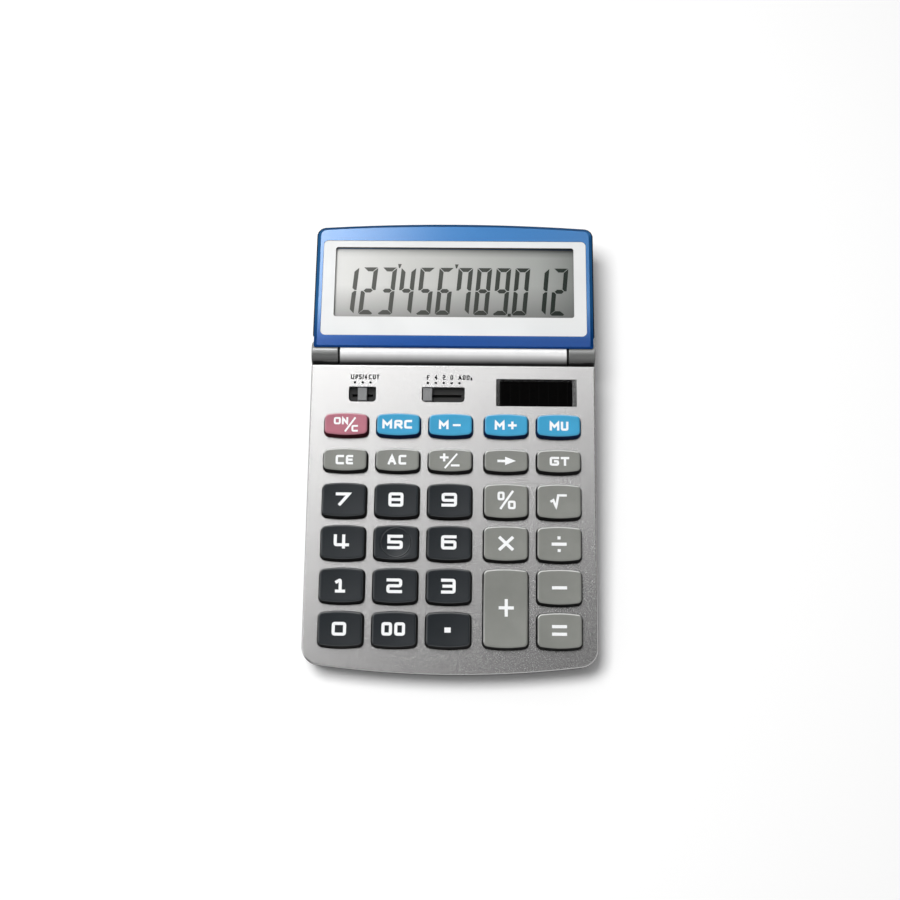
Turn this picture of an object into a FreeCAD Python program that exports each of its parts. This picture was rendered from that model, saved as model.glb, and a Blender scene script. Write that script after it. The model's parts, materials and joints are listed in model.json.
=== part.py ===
import FreeCAD, Part
import math
import os

# Desktop calculator with a display that tilts on a barrel hinge, in millimetres.
# +X is right, +Y is away from the user, +Z is up. The origin is under the middle of the outline,
# on the surface that the rubber feet stand on.
# Two frames are used. The deck frame lies on the sloping keyboard: u is right, v runs from the
# front edge up the slope, w stands square to the deck. Everything else is in the part's own frame.

V = FreeCAD.Vector

# Keyboard base, seen from above. Its width and length follow from the keys and these margins.
DECK_SIDE_MARGIN = 6.075
DECK_REAR_MARGIN = 24.2
DECK_SLOPE_DEG = 4.0
DECK_FRONT_HEIGHT = 12.0
FRONT_CROWN_RADIUS = 375.0
FRONT_CORNER_RADIUS = 6.8
REAR_CORNER_RADIUS = 0.8
CASE_REAR_CORNER_RADIUS = 4.5

# Shells of the base
COVER_THICKNESS = 2.0
COVER_RIM_DEPTH = 1.0
COVER_EDGE_ROUND = 0.6
COVER_TONGUE_THICKNESS = 0.8
COVER_TONGUE_DEPTH = 1.2
CASE_WALL = 2.0
CASE_FLOOR = 1.8
CASE_DRAFT_DEG = 5.0
CASE_EDGE_ROUND = 1.2
FEET_HEIGHT = 1.0
SEAM_CLEARANCE = 0.15

# Keys: five columns and six rows
KEY_PITCH_X = 19.5
COLUMN_GAP_X = 1.25
KEY_WIDTH = 16.0
NUMBER_KEY_DEPTH = 12.85
FUNCTION_KEY_DEPTH = 8.6
FRONT_ROW_V = 15.95
NUMBER_ROW_PITCH = 15.88
FUNCTION_ROW_STEP = 15.26
TOP_ROW_STEP = 13.65
KEY_CROWN_RADIUS = 46.0
KEY_CORNER_RADIUS = 1.7
KEY_RISE = 3.5
KEY_DRAFT = 0.3
KEY_EDGE_ROUND = 0.8
KEY_DISH_RADIUS = 110.0
KEY_WALL = 1.3
KEY_TOP_THICKNESS = 1.4
KEY_OPENING_CLEARANCE = 0.25
KEY_FLANGE_REACH = 0.6
KEY_FLANGE_THICKNESS = 1.0
KEY_FLANGE_GAP = 0.2
KEY_PLUNGER_RADIUS = 1.9
KEY_PLUNGER_LENGTH = 0.8
KEY_TRAVEL = 1.3
FINGER_DISH_RADIUS = 5.3
FINGER_DISH_DEPTH = 0.45

# Rubber keypad and board
DOME_BASE_RADIUS = 4.2
DOME_TOP_RADIUS = 2.3
DOME_WALL = 0.7
KEYPAD_SHEET = 0.8
PILL_RADIUS = 1.5
PILL_THICKNESS = 0.5
BOARD_THICKNESS = 1.6
BOARD_EDGE_GAP = 1.2

# How far cutting bodies reach past what they cut
CUT_SPARE = 6.0

# Components under the board
BLOB_RADIUS = 7.0
BLOB_RISE = 1.4
CRYSTAL_WIDTH = 8.0
CRYSTAL_DEPTH = 3.4
CRYSTAL_HEIGHT = 2.6
CRYSTAL_ROUND = 1.2
CAPACITOR_RADIUS = 2.5
CAPACITOR_HEIGHT = 5.0
RESISTOR_COUNT = 5
RESISTOR_PITCH = 4.0
RESISTOR_WIDTH = 2.0
RESISTOR_DEPTH = 1.25
RESISTOR_HEIGHT = 0.6

# Screws of the base
SCREW_SHANK_RADIUS = 0.8
SCREW_HEAD_RADIUS = 1.9
SCREW_HEAD_THICKNESS = 1.2
SCREW_SEAT_THICKNESS = 1.4
SCREW_BITE = 4.0
SCREW_FIT = 0.05
SCREW_CLEARANCE = 0.35
BOSS_RADIUS = 2.25
POST_RADIUS = 3.4
FRONT_SCREW_V = 6.0
REAR_SCREW_FROM_SIDE = 5.5
REAR_SCREW_BEHIND_KEYS = 6.6

# Slide switches
SWITCH_WINDOW_DEPTH = 5.95
SWITCH_BEHIND_KEYS = 12.5
SWITCH_WINDOW_CORNER = 1.5
SWITCH_STEP = 2.95
KNOB_WIDTH = 3.5
KNOB_DEPTH = 5.0
KNOB_RISE = 0.25
KNOB_RIB_COUNT = 4
KNOB_RIB_DEPTH = 0.35
KNOB_RIB_WIDTH = 0.4
KNOB_STEM_WIDTH = 1.8
KNOB_STEM_DEPTH = 1.0
KNOB_STEM_REACH = 2.2
KNOB_END_GAP = 0.45
SWITCH_BODY_DEPTH = 8.4
SWITCH_BODY_END = 3.0
SWITCH_BODY_GAP = 0.3
SWITCH_CLEARANCE = 0.1
ROUND_SWITCH_PLACES = 3
ROUND_SWITCH_FROM_COLUMN = 5.525
DECIMAL_SWITCH_PLACES = 5
DECIMAL_SWITCH_FROM_COLUMN = -2.975

# Solar cell under its sloped window
SOLAR_FROM_COLUMNS = 1.625
SOLAR_BEHIND_KEYS = 13.5
SOLAR_WINDOW_WIDTH = 27.4
SOLAR_WINDOW_DEPTH = 9.8
SOLAR_SLOPE_SIDE = 1.5
SOLAR_SLOPE_END = 0.45
SOLAR_CELL_OVERLAP = 1.0
SOLAR_CELL_THICKNESS = 1.1
SOLAR_WIRE_RADIUS = 0.4
SOLAR_WIRE_SPACING = 4.0

# Hinge
BARREL_RADIUS = 5.0
BARREL_BORE_RADIUS = 3.0
BARREL_GAP = 0.4
BARREL_RISE = 1.0
BARREL_EDGE_ROUND = 0.4
HINGE_SIDE_GAP = 0.4
HINGE_CAP_LENGTH = 10.3
HINGE_CAP_PROUD = 0.2
HINGE_CAP_EDGE = 0.5
HINGE_PIN_FIT = 0.05
HINGE_PIN_BORE = 1.8
HINGE_PIN_IN_BARREL = 7.0
HINGE_PIN_IN_CAP = 7.0
WASHER_THICKNESS = 0.3
WASHER_RADIUS = 4.3
TROUGH_WALL = 1.6
TROUGH_BACK = 4.6
TROUGH_SIDE_INSET = 0.2
TILT_CLEARANCE = 0.3

# Display unit
DISPLAY_SIDE_STEP = 0.1
DISPLAY_DEPTH = 52.1
DISPLAY_LIP_BEHIND_AXIS = 1.05
DISPLAY_LIP_OVER_BARREL = 1.15
DISPLAY_THICKNESS = 12.7
DISPLAY_REAR_CROWN = 750.0
DISPLAY_REAR_CORNER = 3.6
DISPLAY_FRONT_CORNER = 0.8
DISPLAY_WALL = 1.8
DISPLAY_TOP_PLATE = 2.0
DISPLAY_SEAM_DEPTH = 1.4
DISPLAY_BEVEL_WIDTH = 1.15
DISPLAY_BEVEL_DROP = 0.6
DISPLAY_FRONT_BEVEL = 0.5
DISPLAY_FRONT_WALL_BEHIND_AXIS = 5.4
DISPLAY_CASE_PROUD = 0.5
DISPLAY_SKIRT_DEPTH = 2.0
DISPLAY_SKIRT_THICKNESS = 1.0
DISPLAY_CASE_DRAFT_DEG = 6.0
DISPLAY_CASE_ROUND = 1.6
DISPLAY_CASE_FRONT_CORNER = 3.6
DISPLAY_CASE_REAR_CORNER = 5.0
STOP_PAD_GAP = 0.3
STOP_PAD_WIDTH = 8.0
STOP_PAD_HEIGHT = 1.4
STOP_PAD_U = 25.0

# White panel and the liquid crystal display, as distances from the display's front edge
PANEL_FROM_SIDE = 2.95
PANEL_FROM_FRONT = 4.8
PANEL_FROM_REAR = 7.8
PANEL_CORNER = 1.8
PANEL_THICKNESS = 1.2
PANEL_SINK = 0.15
PANEL_LEDGE = 2.6
PANEL_CLEARANCE = 0.08
WINDOW_FROM_PANEL_SIDE = 4.7
WINDOW_FROM_PANEL_FRONT = 7.6
WINDOW_FROM_PANEL_REAR = 2.7
WINDOW_CORNER = 1.0
GLASS_OVERLAP = 2.4
GLASS_REAR_OVERLAP = 1.4
GLASS_THICKNESS = 1.0
GLASS_LEDGE = 3.0
CONNECTOR_WIDTH = 2.2
CONNECTOR_END_INSET = 3.0
HOLDER_WALL = 0.8
HOLDER_LIP = 3.0
HOLDER_GAP = 0.1
DISPLAY_BOARD_THICKNESS = 1.0
GLASS_TO_BOARD = 3.6
DISPLAY_BOSS_RADIUS = 1.9
DISPLAY_BOSS_FROM_SIDE = 12.0
DISPLAY_BOSS_FROM_REAR = 6.2
DISPLAY_BOSS_LENGTH = 3.0
DISPLAY_SCREW_SEAT_DEPTH = 3.4
DISPLAY_POST_RADIUS = 3.0

# Underside
FOOT_RADIUS = 4.5
FOOT_SINK = 0.6
FOOT_FIT = 0.05
FOOT_FROM_SIDE = 15.5
FRONT_FOOT_FROM_EDGE = 12.0
REAR_FOOT_BEHIND_AXIS = -3.0
CELL_RADIUS = 5.8
CELL_HEIGHT = 5.4
CELL_FROM_WIRES = 9.2
CELL_BEFORE_AXIS = 11.0
CELL_FIT = 0.2
CELL_HOLDER_WALL = 1.2
DOOR_WIDTH = 19.0
DOOR_LENGTH = 24.0
DOOR_THICKNESS = 1.6
DOOR_TONGUE = 0.9
DOOR_LIP = 0.7
DOOR_CLEARANCE = 0.1
DOOR_BED_THICKNESS = 1.2
CONTACT_THICKNESS = 0.3
CONTACT_WIDTH = 4.0
CONTACT_CLEARANCE = 0.5

# Wires to the display
WIRE_RADIUS = 0.9
WIRE_BEND = 1.8
WIRE_DUCT_CLEARANCE = 0.3
WIRE_TURN_IN_CAP = 4.4
WIRE_DROP_IN_BARREL = 13.0

# The keys' places, and the outlines that follow from them
KEY_ROWS = [
    ["0", "00", "point", None, "equals"],
    ["1", "2", "3", "plus", "minus"],
    ["4", "5", "6", "times", "divide"],
    ["7", "8", "9", "percent", "root"],
    ["ce", "ac", "sign", "arrow", "gt"],
    ["on_c", "mrc", "m_minus", "m_plus", "mu"],
]
NUMBER_ROWS = 4
COLUMN_U = [
    -2 * KEY_PITCH_X - COLUMN_GAP_X / 2,
    -KEY_PITCH_X - COLUMN_GAP_X / 2,
    -COLUMN_GAP_X / 2,
    KEY_PITCH_X + COLUMN_GAP_X / 2,
    2 * KEY_PITCH_X + COLUMN_GAP_X / 2,
]
ROW_V = [FRONT_ROW_V + NUMBER_ROW_PITCH * row for row in range(NUMBER_ROWS)]
ROW_V.append(ROW_V[-1] + FUNCTION_ROW_STEP)
ROW_V.append(ROW_V[-1] + TOP_ROW_STEP)
BODY_WIDTH = 2 * COLUMN_U[-1] + KEY_WIDTH + 2 * DECK_SIDE_MARGIN
DECK_LENGTH = ROW_V[-1] + DECK_REAR_MARGIN
HALF_WIDTH = BODY_WIDTH / 2
BARREL_LENGTH = BODY_WIDTH + 2 * (HINGE_CAP_PROUD - HINGE_CAP_LENGTH - HINGE_SIDE_GAP)
DISPLAY_WIDTH = BODY_WIDTH - 2 * DISPLAY_SIDE_STEP
PANEL_WIDTH = DISPLAY_WIDTH - 2 * PANEL_FROM_SIDE
PANEL_DEPTH = DISPLAY_DEPTH - PANEL_FROM_FRONT - PANEL_FROM_REAR
WINDOW_WIDTH = PANEL_WIDTH - 2 * WINDOW_FROM_PANEL_SIDE
WINDOW_DEPTH = PANEL_DEPTH - WINDOW_FROM_PANEL_FRONT - WINDOW_FROM_PANEL_REAR
WINDOW_FROM_FRONT = PANEL_FROM_FRONT + WINDOW_FROM_PANEL_FRONT

# Places that follow from the driving sizes
SLOPE = math.radians(DECK_SLOPE_DEG)
DECK_RUN = DECK_LENGTH * math.cos(SLOPE)
DISPLAY_FRONT_FROM_DECK = BARREL_GAP + BARREL_RADIUS + DISPLAY_LIP_BEHIND_AXIS
TOTAL_LENGTH = DECK_RUN + DISPLAY_FRONT_FROM_DECK + DISPLAY_DEPTH
FRONT_Y = -TOTAL_LENGTH / 2
DECK_REAR_Y = FRONT_Y + DECK_RUN
DECK_REAR_Z = DECK_FRONT_HEIGHT + DECK_LENGTH * math.sin(SLOPE)
AXIS_Y = DECK_REAR_Y + BARREL_GAP + BARREL_RADIUS
AXIS_Z = DECK_REAR_Z + BARREL_RISE - BARREL_RADIUS
DISPLAY_FRONT_Y = AXIS_Y + DISPLAY_LIP_BEHIND_AXIS
DISPLAY_REAR_Y = DISPLAY_FRONT_Y + DISPLAY_DEPTH
DISPLAY_TOP_Z = AXIS_Z + BARREL_RADIUS + DISPLAY_LIP_OVER_BARREL
DISPLAY_SEAM_Z = DISPLAY_TOP_Z - DISPLAY_SEAM_DEPTH
DISPLAY_BOTTOM_Z = DISPLAY_TOP_Z - DISPLAY_THICKNESS
DISPLAY_WALL_Y = AXIS_Y + DISPLAY_FRONT_WALL_BEHIND_AXIS
CASE_BOTTOM_Z = FEET_HEIGHT
CASE_FLOOR_Z = CASE_BOTTOM_Z + CASE_FLOOR
BARREL_END_U = BARREL_LENGTH / 2
CAP_INNER_U = BARREL_END_U + HINGE_SIDE_GAP
CAP_OUTER_U = CAP_INNER_U + HINGE_CAP_LENGTH

DOME_HEIGHT = KEY_TRAVEL + PILL_THICKNESS + 2 * DOME_WALL
KEY_BASE_W = -COVER_THICKNESS - KEY_FLANGE_GAP
FLANGE_BOTTOM_W = KEY_BASE_W - KEY_FLANGE_THICKNESS
PLUNGER_BOTTOM_W = FLANGE_BOTTOM_W - KEY_PLUNGER_LENGTH
BOARD_TOP_W = PLUNGER_BOTTOM_W - DOME_HEIGHT
BOARD_BOTTOM_W = BOARD_TOP_W - BOARD_THICKNESS
SCREW_SEAT_W = BOARD_BOTTOM_W - SCREW_SEAT_THICKNESS
DECK = FreeCAD.Placement(V(0, FRONT_Y, DECK_FRONT_HEIGHT), FreeCAD.Rotation(V(1, 0, 0), DECK_SLOPE_DEG))
SWITCH_WINDOW_V = ROW_V[-1] + SWITCH_BEHIND_KEYS
ROUND_SWITCH_U = COLUMN_U[0] + ROUND_SWITCH_FROM_COLUMN
DECIMAL_SWITCH_U = COLUMN_U[2] + DECIMAL_SWITCH_FROM_COLUMN
SOLAR_U = (COLUMN_U[3] + COLUMN_U[4]) / 2 + SOLAR_FROM_COLUMNS
SOLAR_V = ROW_V[-1] + SOLAR_BEHIND_KEYS
WIRE_DROP_X = -BARREL_END_U + WIRE_DROP_IN_BARREL
CELL_U = WIRE_DROP_X + CELL_FROM_WIRES
FOOT_U = HALF_WIDTH - FOOT_FROM_SIDE


class Plan:
    """A closed outline with straight sides, ends that are straight or crowned, and round corners."""

    def __init__(self, half_width, front, rear, front_crown, rear_crown, front_corner, rear_corner):
        self.half_width = half_width
        self.ends = {
            -1: (front, front_crown, front_corner),
            1: (rear, rear_crown, rear_corner),
        }

    def corner(self, sign, inset):
        """Where the right-hand corner arc starts on the side, its middle, and where it meets the end."""
        apex, crown, radius = self.ends[sign]
        half = self.half_width - inset
        apex = apex - sign * inset
        radius = max(radius - inset, 0.15)
        if crown is None:
            centre = V(half - radius, apex - sign * radius, 0)
            end = V(half - radius, apex, 0)
        else:
            crown = crown - inset
            crown_y = apex - sign * crown
            rise = math.sqrt((crown - radius) ** 2 - (half - radius) ** 2)
            centre = V(half - radius, crown_y + sign * rise, 0)
            crown_centre = V(0, crown_y, 0)
            end = crown_centre + (centre - crown_centre) * (crown / (crown - radius))
        side = V(half, centre.y, 0)
        middle = centre + ((side - centre) + (end - centre)).normalize() * radius
        return side, middle, end, V(0, apex, 0)

    def wire(self, inset, height):
        lift = V(0, 0, height)
        edges = []

        def mirrored(point):
            return V(-point.x, point.y, point.z)

        def line(a, b):
            edges.append(Part.LineSegment(a + lift, b + lift).toShape())

        def arc(a, b, c):
            edges.append(Part.Arc(a + lift, b + lift, c + lift).toShape())

        def end_edge(sign, a, apex, b):
            if self.ends[sign][1] is None:
                line(a, b)
            else:
                arc(a, apex, b)

        front_side, front_middle, front_end, front_apex = self.corner(-1, inset)
        rear_side, rear_middle, rear_end, rear_apex = self.corner(1, inset)
        line(front_side, rear_side)
        arc(rear_side, rear_middle, rear_end)
        end_edge(1, rear_end, rear_apex, mirrored(rear_end))
        arc(mirrored(rear_end), mirrored(rear_middle), mirrored(rear_side))
        line(mirrored(rear_side), mirrored(front_side))
        arc(mirrored(front_side), mirrored(front_middle), mirrored(front_end))
        end_edge(-1, mirrored(front_end), front_apex, front_end)
        arc(front_end, front_middle, front_side)
        return Part.Wire(edges)

    def prism(self, inset, low, high):
        return Part.Face(self.wire(inset, low)).extrude(V(0, 0, high - low))

    def taper(self, inset_low, low, inset_high, high):
        return ruled(self.wire(inset_low, low), self.wire(inset_high, high))


def ruled(low_wire, high_wire):
    return Part.makeLoft([low_wire, high_wire], True, True)


def box(low_x, high_x, low_y, high_y, low_z, high_z):
    return Part.makeBox(high_x - low_x, high_y - low_y, high_z - low_z, V(low_x, low_y, low_z))


def centred_box(x, y, width, depth, low_z, high_z):
    return box(x - width / 2, x + width / 2, y - depth / 2, y + depth / 2, low_z, high_z)


def post(x, y, radius, low_z, high_z):
    return Part.makeCylinder(radius, high_z - low_z, V(x, y, low_z))


def cone(x, y, low_radius, high_radius, low_z, high_z):
    return Part.makeCone(low_radius, high_radius, high_z - low_z, V(x, y, low_z))


def rod_x(radius, low_x, high_x, y=None, z=None):
    """A cylinder along X, on the hinge axis unless another line is given."""
    y = AXIS_Y if y is None else y
    z = AXIS_Z if z is None else z
    return Part.makeCylinder(radius, high_x - low_x, V(low_x, y, z), V(1, 0, 0))


def joined(shapes):
    return shapes[0].fuse(shapes[1:]).removeSplitter() if len(shapes) > 1 else shapes[0]


def group(shapes):
    return Part.makeCompound(shapes)


def moved(shape, x=0.0, y=0.0, z=0.0):
    copy = shape.copy()
    copy.translate(V(x, y, z))
    return copy


def mirrored_x(shape):
    return shape.mirror(V(0, 0, 0), V(1, 0, 0))


def on_deck(shape):
    """Take a shape from the deck frame to the part's own frame."""
    copy = shape.copy()
    copy.Placement = DECK.multiply(copy.Placement)
    return copy


def edges_at_height(shape, height):
    tolerance = 0.001
    return [
        edge for edge in shape.Edges
        if abs(edge.BoundBox.ZMin - height) < tolerance and abs(edge.BoundBox.ZMax - height) < tolerance
    ]


def rounded_path(points, radius):
    """Straight runs joined by tangent arcs, as one wire."""
    edges = []
    start = points[0]
    for index in range(1, len(points) - 1):
        here = points[index]
        back = (points[index - 1] - here).normalize()
        ahead = (points[index + 1] - here).normalize()
        half_turn = back.getAngle(ahead) / 2
        reach = radius / math.tan(half_turn)
        arc_start = here + back * reach
        arc_end = here + ahead * reach
        inward = (back + ahead).normalize()
        middle = here + inward * (radius / math.sin(half_turn) - radius)
        edges.append(Part.LineSegment(start, arc_start).toShape())
        edges.append(Part.Arc(arc_start, middle, arc_end).toShape())
        start = arc_end
    edges.append(Part.LineSegment(start, points[-1]).toShape())
    return Part.Wire(edges)


def tube(points, bend, radius):
    path = rounded_path(points, bend)
    direction = (points[1] - points[0]).normalize()
    section = Part.Wire([Part.makeCircle(radius, points[0], direction)])
    return path.makePipeShell([section], True, False)


def export(name, shape):
    solids = shape.Solids
    for solid in solids:
        if not solid.isValid():
            print("not valid:", name)
    result = solids[0] if len(solids) == 1 else Part.makeCompound(solids)
    result.exportStep("parts/" + name + ".step")
    print(name, len(solids), "solids", round(sum(solid.Volume for solid in solids), 1), "mm3")


DECK_PLAN = Plan(
    HALF_WIDTH, 0.0, DECK_LENGTH, FRONT_CROWN_RADIUS, None, FRONT_CORNER_RADIUS, REAR_CORNER_RADIUS
)
CASE_FOOT_PLAN = Plan(
    HALF_WIDTH, 0.0, DECK_LENGTH, FRONT_CROWN_RADIUS, None, FRONT_CORNER_RADIUS, CASE_REAR_CORNER_RADIUS
)


def key_plan(depth):
    half_depth = depth / 2
    return Plan(
        KEY_WIDTH / 2, -half_depth, half_depth,
        KEY_CROWN_RADIUS, KEY_CROWN_RADIUS, KEY_CORNER_RADIUS, KEY_CORNER_RADIUS,
    )


def key_places():
    """Name, place on the deck, depth and plunger offsets of every key."""
    places = []
    for row, names in enumerate(KEY_ROWS):
        depth = NUMBER_KEY_DEPTH if row < NUMBER_ROWS else FUNCTION_KEY_DEPTH
        for column, name in enumerate(names):
            if name is None:
                continue
            if name == "plus":
                half_step = (ROW_V[row] - ROW_V[row - 1]) / 2
                middle = ROW_V[row] - half_step
                places.append((name, COLUMN_U[column], middle, depth + 2 * half_step, [-half_step, half_step]))
            else:
                places.append((name, COLUMN_U[column], ROW_V[row], depth, [0.0]))
    return places


def key_shape(depth, plungers):
    """One key cap: crowned plan, drafted skirt, dished top, hollow underside with flange and plunger."""
    plan = key_plan(depth)
    skirt = plan.prism(-KEY_DRAFT, KEY_BASE_W, 0.0)
    cap = plan.taper(-KEY_DRAFT, 0.0, 0.0, KEY_RISE)
    cap = dished(cap, depth)
    cap = rounded_top(cap)
    flange = plan.prism(-KEY_DRAFT - KEY_FLANGE_REACH, FLANGE_BOTTOM_W, KEY_BASE_W)
    hollow = plan.prism(KEY_WALL, FLANGE_BOTTOM_W, KEY_RISE - KEY_TOP_THICKNESS)
    body = joined([cap, skirt, flange]).cut(hollow)
    posts = [
        post(0, offset, KEY_PLUNGER_RADIUS, PLUNGER_BOTTOM_W, KEY_RISE - KEY_TOP_THICKNESS)
        for offset in plungers
    ]
    return joined([body] + posts)


def dished(cap, depth):
    """Hollow the top by a large sphere that touches the corners of the cap."""
    corner_reach = math.hypot(KEY_WIDTH / 2, depth / 2)
    sag = KEY_DISH_RADIUS - math.sqrt(KEY_DISH_RADIUS ** 2 - corner_reach ** 2)
    centre = V(0, 0, KEY_RISE - sag + KEY_DISH_RADIUS)
    ball = Part.makeSphere(KEY_DISH_RADIUS, centre)
    return cap.cut(ball)


def rounded_top(cap):
    top = [edge for edge in cap.Edges if edge.BoundBox.ZMin > KEY_RISE / 2]
    return cap.makeFillet(KEY_EDGE_ROUND, top)


def finger_dish(key):
    """The middle key has a deeper round dish that a finger finds."""
    radius = (FINGER_DISH_RADIUS ** 2 + FINGER_DISH_DEPTH ** 2) / (2 * FINGER_DISH_DEPTH)
    centre_reach = math.hypot(KEY_WIDTH / 2, NUMBER_KEY_DEPTH / 2)
    sag = KEY_DISH_RADIUS - math.sqrt(KEY_DISH_RADIUS ** 2 - centre_reach ** 2)
    surface = KEY_RISE - sag
    return key.cut(Part.makeSphere(radius, V(0, 0, surface - FINGER_DISH_DEPTH + radius)))


def make_keys():
    shapes = {}
    for name, u, v, depth, plungers in key_places():
        if depth not in shapes:
            shapes[depth] = key_shape(depth, plungers)
        shape = finger_dish(shapes[depth]) if name == "5" else shapes[depth]
        export("key_" + name, on_deck(moved(shape, u, v)))


def screw_places():
    """Places of the six case screws on the deck. The middle pair stands between the second and third row."""
    junction_u = (COLUMN_U[3] + COLUMN_U[4]) / 2
    middle_v = (ROW_V[1] + ROW_V[2]) / 2
    rear_u = HALF_WIDTH - REAR_SCREW_FROM_SIDE
    rear_v = ROW_V[-1] + REAR_SCREW_BEHIND_KEYS
    right = [(junction_u, FRONT_SCREW_V), (junction_u, middle_v), (rear_u, rear_v)]
    return right + [(-u, v) for u, v in right]


def switch_window(u, places):
    """Window in the cover: square at the rear, rounder at the front."""
    half = switch_half_window(places)
    plan = Plan(
        half, -SWITCH_WINDOW_DEPTH / 2, SWITCH_WINDOW_DEPTH / 2, None, None, SWITCH_WINDOW_CORNER, 0.5
    )
    return moved(plan.prism(0.0, -COVER_THICKNESS, 1.0), u, SWITCH_WINDOW_V)


def switch_half_window(places):
    return (KNOB_WIDTH + (places - 1) * SWITCH_STEP) / 2 + KNOB_END_GAP


def solar_window():
    half_width = SOLAR_WINDOW_WIDTH / 2
    half_depth = SOLAR_WINDOW_DEPTH / 2

    def corners(grow_side, grow_end, height):
        x = half_width + grow_side
        y = half_depth + grow_end
        return Part.makePolygon([
            V(-x, -y, height), V(x, -y, height), V(x, y, height), V(-x, y, height), V(-x, -y, height)
        ])

    low = corners(0.0, 0.0, -COVER_THICKNESS)
    high = corners(SOLAR_SLOPE_SIDE, SOLAR_SLOPE_END, 0.0)
    sloped = Part.makeLoft([low, high], True, True)
    return moved(sloped, SOLAR_U, SOLAR_V)


def case_wall_inset(w):
    """How far the inner face of the case's wall lies inside the outline at a depth below the deck."""
    return CASE_WALL + (-w - COVER_RIM_DEPTH) * math.tan(math.radians(CASE_DRAFT_DEG))


def make_top_cover():
    cover = DECK_PLAN.prism(0.0, -COVER_RIM_DEPTH, 0.0)
    cover = cover.makeFillet(COVER_EDGE_ROUND, edges_at_height(cover, 0.0))
    tongue_low = -COVER_THICKNESS - COVER_TONGUE_DEPTH
    tongue_inset = case_wall_inset(tongue_low) + SEAM_CLEARANCE
    tongue = DECK_PLAN.prism(tongue_inset, tongue_low, -COVER_RIM_DEPTH)
    inner = DECK_PLAN.prism(tongue_inset + COVER_TONGUE_THICKNESS, tongue_low, -COVER_THICKNESS)
    bosses = [post(u, v, BOSS_RADIUS, BOARD_TOP_W, -COVER_THICKNESS) for u, v in screw_places()]
    inside = DECK_PLAN.prism(case_wall_inset(BOARD_TOP_W) + SEAM_CLEARANCE, BOARD_TOP_W, -COVER_THICKNESS)
    bosses = [boss.common(inside) for boss in bosses]
    cover = joined([cover, tongue.cut(inner)] + bosses)
    cuts = []
    for name, u, v, depth, plungers in key_places():
        opening = key_plan(depth).prism(-KEY_DRAFT - KEY_OPENING_CLEARANCE, -COVER_THICKNESS, 1.0)
        cuts.append(moved(opening, u, v))
    cuts.append(switch_window(ROUND_SWITCH_U, ROUND_SWITCH_PLACES))
    cuts.append(switch_window(DECIMAL_SWITCH_U, DECIMAL_SWITCH_PLACES))
    cuts.append(solar_window())
    for u, v in screw_places():
        cuts.append(post(u, v, SCREW_SHANK_RADIUS + SCREW_FIT, BOARD_TOP_W, BOARD_TOP_W + SCREW_BITE + 0.3))
    export("top_cover", on_deck(cover.cut(cuts)))


def trough_block():
    """Solid under the hinge barrel, as wide as the barrel, down to the case's underside."""
    half = BARREL_END_U - TROUGH_SIDE_INSET
    block = box(-half, half, DECK_REAR_Y - 4 * CASE_WALL, AXIS_Y + TROUGH_BACK, CASE_BOTTOM_Z, AXIS_Z - 1.0)
    low = [edge for edge in edges_at_height(block, CASE_BOTTOM_Z) if edge.BoundBox.YMax > DECK_REAR_Y]
    return block.makeFillet(CASE_EDGE_ROUND, low)


def case_body(wall, bottom_z):
    """Raked body below the cover, cut off level. The wall is how far it lies inside the outline."""
    depth = DECK_REAR_Z + CUT_SPARE
    rake = (depth - COVER_RIM_DEPTH) * math.tan(math.radians(CASE_DRAFT_DEG))
    body = on_deck(ruled(
        CASE_FOOT_PLAN.wire(wall + rake, -depth), DECK_PLAN.wire(wall, -COVER_RIM_DEPTH)
    ))
    above = box(
        -BODY_WIDTH, BODY_WIDTH, FRONT_Y - CUT_SPARE, DISPLAY_REAR_Y, bottom_z, DISPLAY_TOP_Z + CUT_SPARE
    )
    return body.common(above)


def case_outside():
    body = case_body(0.0, CASE_BOTTOM_Z)
    body = body.makeFillet(CASE_EDGE_ROUND, edges_at_height(body, CASE_BOTTOM_Z))
    body = body.fuse(trough_block()).removeSplitter()
    return body.cut(rod_x(BARREL_RADIUS, -BARREL_END_U, BARREL_END_U))


def case_inside():
    half = BARREL_END_U - TROUGH_SIDE_INSET - CASE_WALL
    under_trough = box(
        -half, half, DECK_REAR_Y - CASE_WALL - 4.0, AXIS_Y + TROUGH_BACK - CASE_WALL,
        CASE_FLOOR_Z, AXIS_Z - BARREL_RADIUS - TROUGH_WALL,
    )
    return joined([case_body(CASE_WALL, CASE_FLOOR_Z), under_trough])


def feet_places():
    front_y = FRONT_Y + FRONT_FOOT_FROM_EDGE
    rear_y = AXIS_Y + REAR_FOOT_BEHIND_AXIS
    return [(side * FOOT_U, y) for y in (front_y, rear_y) for side in (-1, 1)]


def cell_y():
    return AXIS_Y - CELL_BEFORE_AXIS


def door_span():
    """Front and rear edge of the battery door."""
    rear = AXIS_Y + TROUGH_BACK
    return rear - DOOR_LENGTH, rear


def door_shape(clearance):
    """The door: a plate with a tongue on each long side, grown by the clearance for its opening."""
    front, rear = door_span()
    half = DOOR_WIDTH / 2 + clearance
    reach = half + DOOR_TONGUE
    top = CASE_BOTTOM_Z + DOOR_THICKNESS + clearance
    plate = box(CELL_U - half, CELL_U + half, front - clearance, rear, CASE_BOTTOM_Z, top)
    lip = CASE_BOTTOM_Z + DOOR_LIP + (DOOR_CLEARANCE - clearance)
    tongues = box(CELL_U - reach, CELL_U + reach, front - clearance, rear, lip, top)
    return joined([plate, tongues])


def door_bed_z():
    """Underside of the thickened floor above the door."""
    return CASE_BOTTOM_Z + DOOR_THICKNESS + DOOR_CLEARANCE


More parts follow.
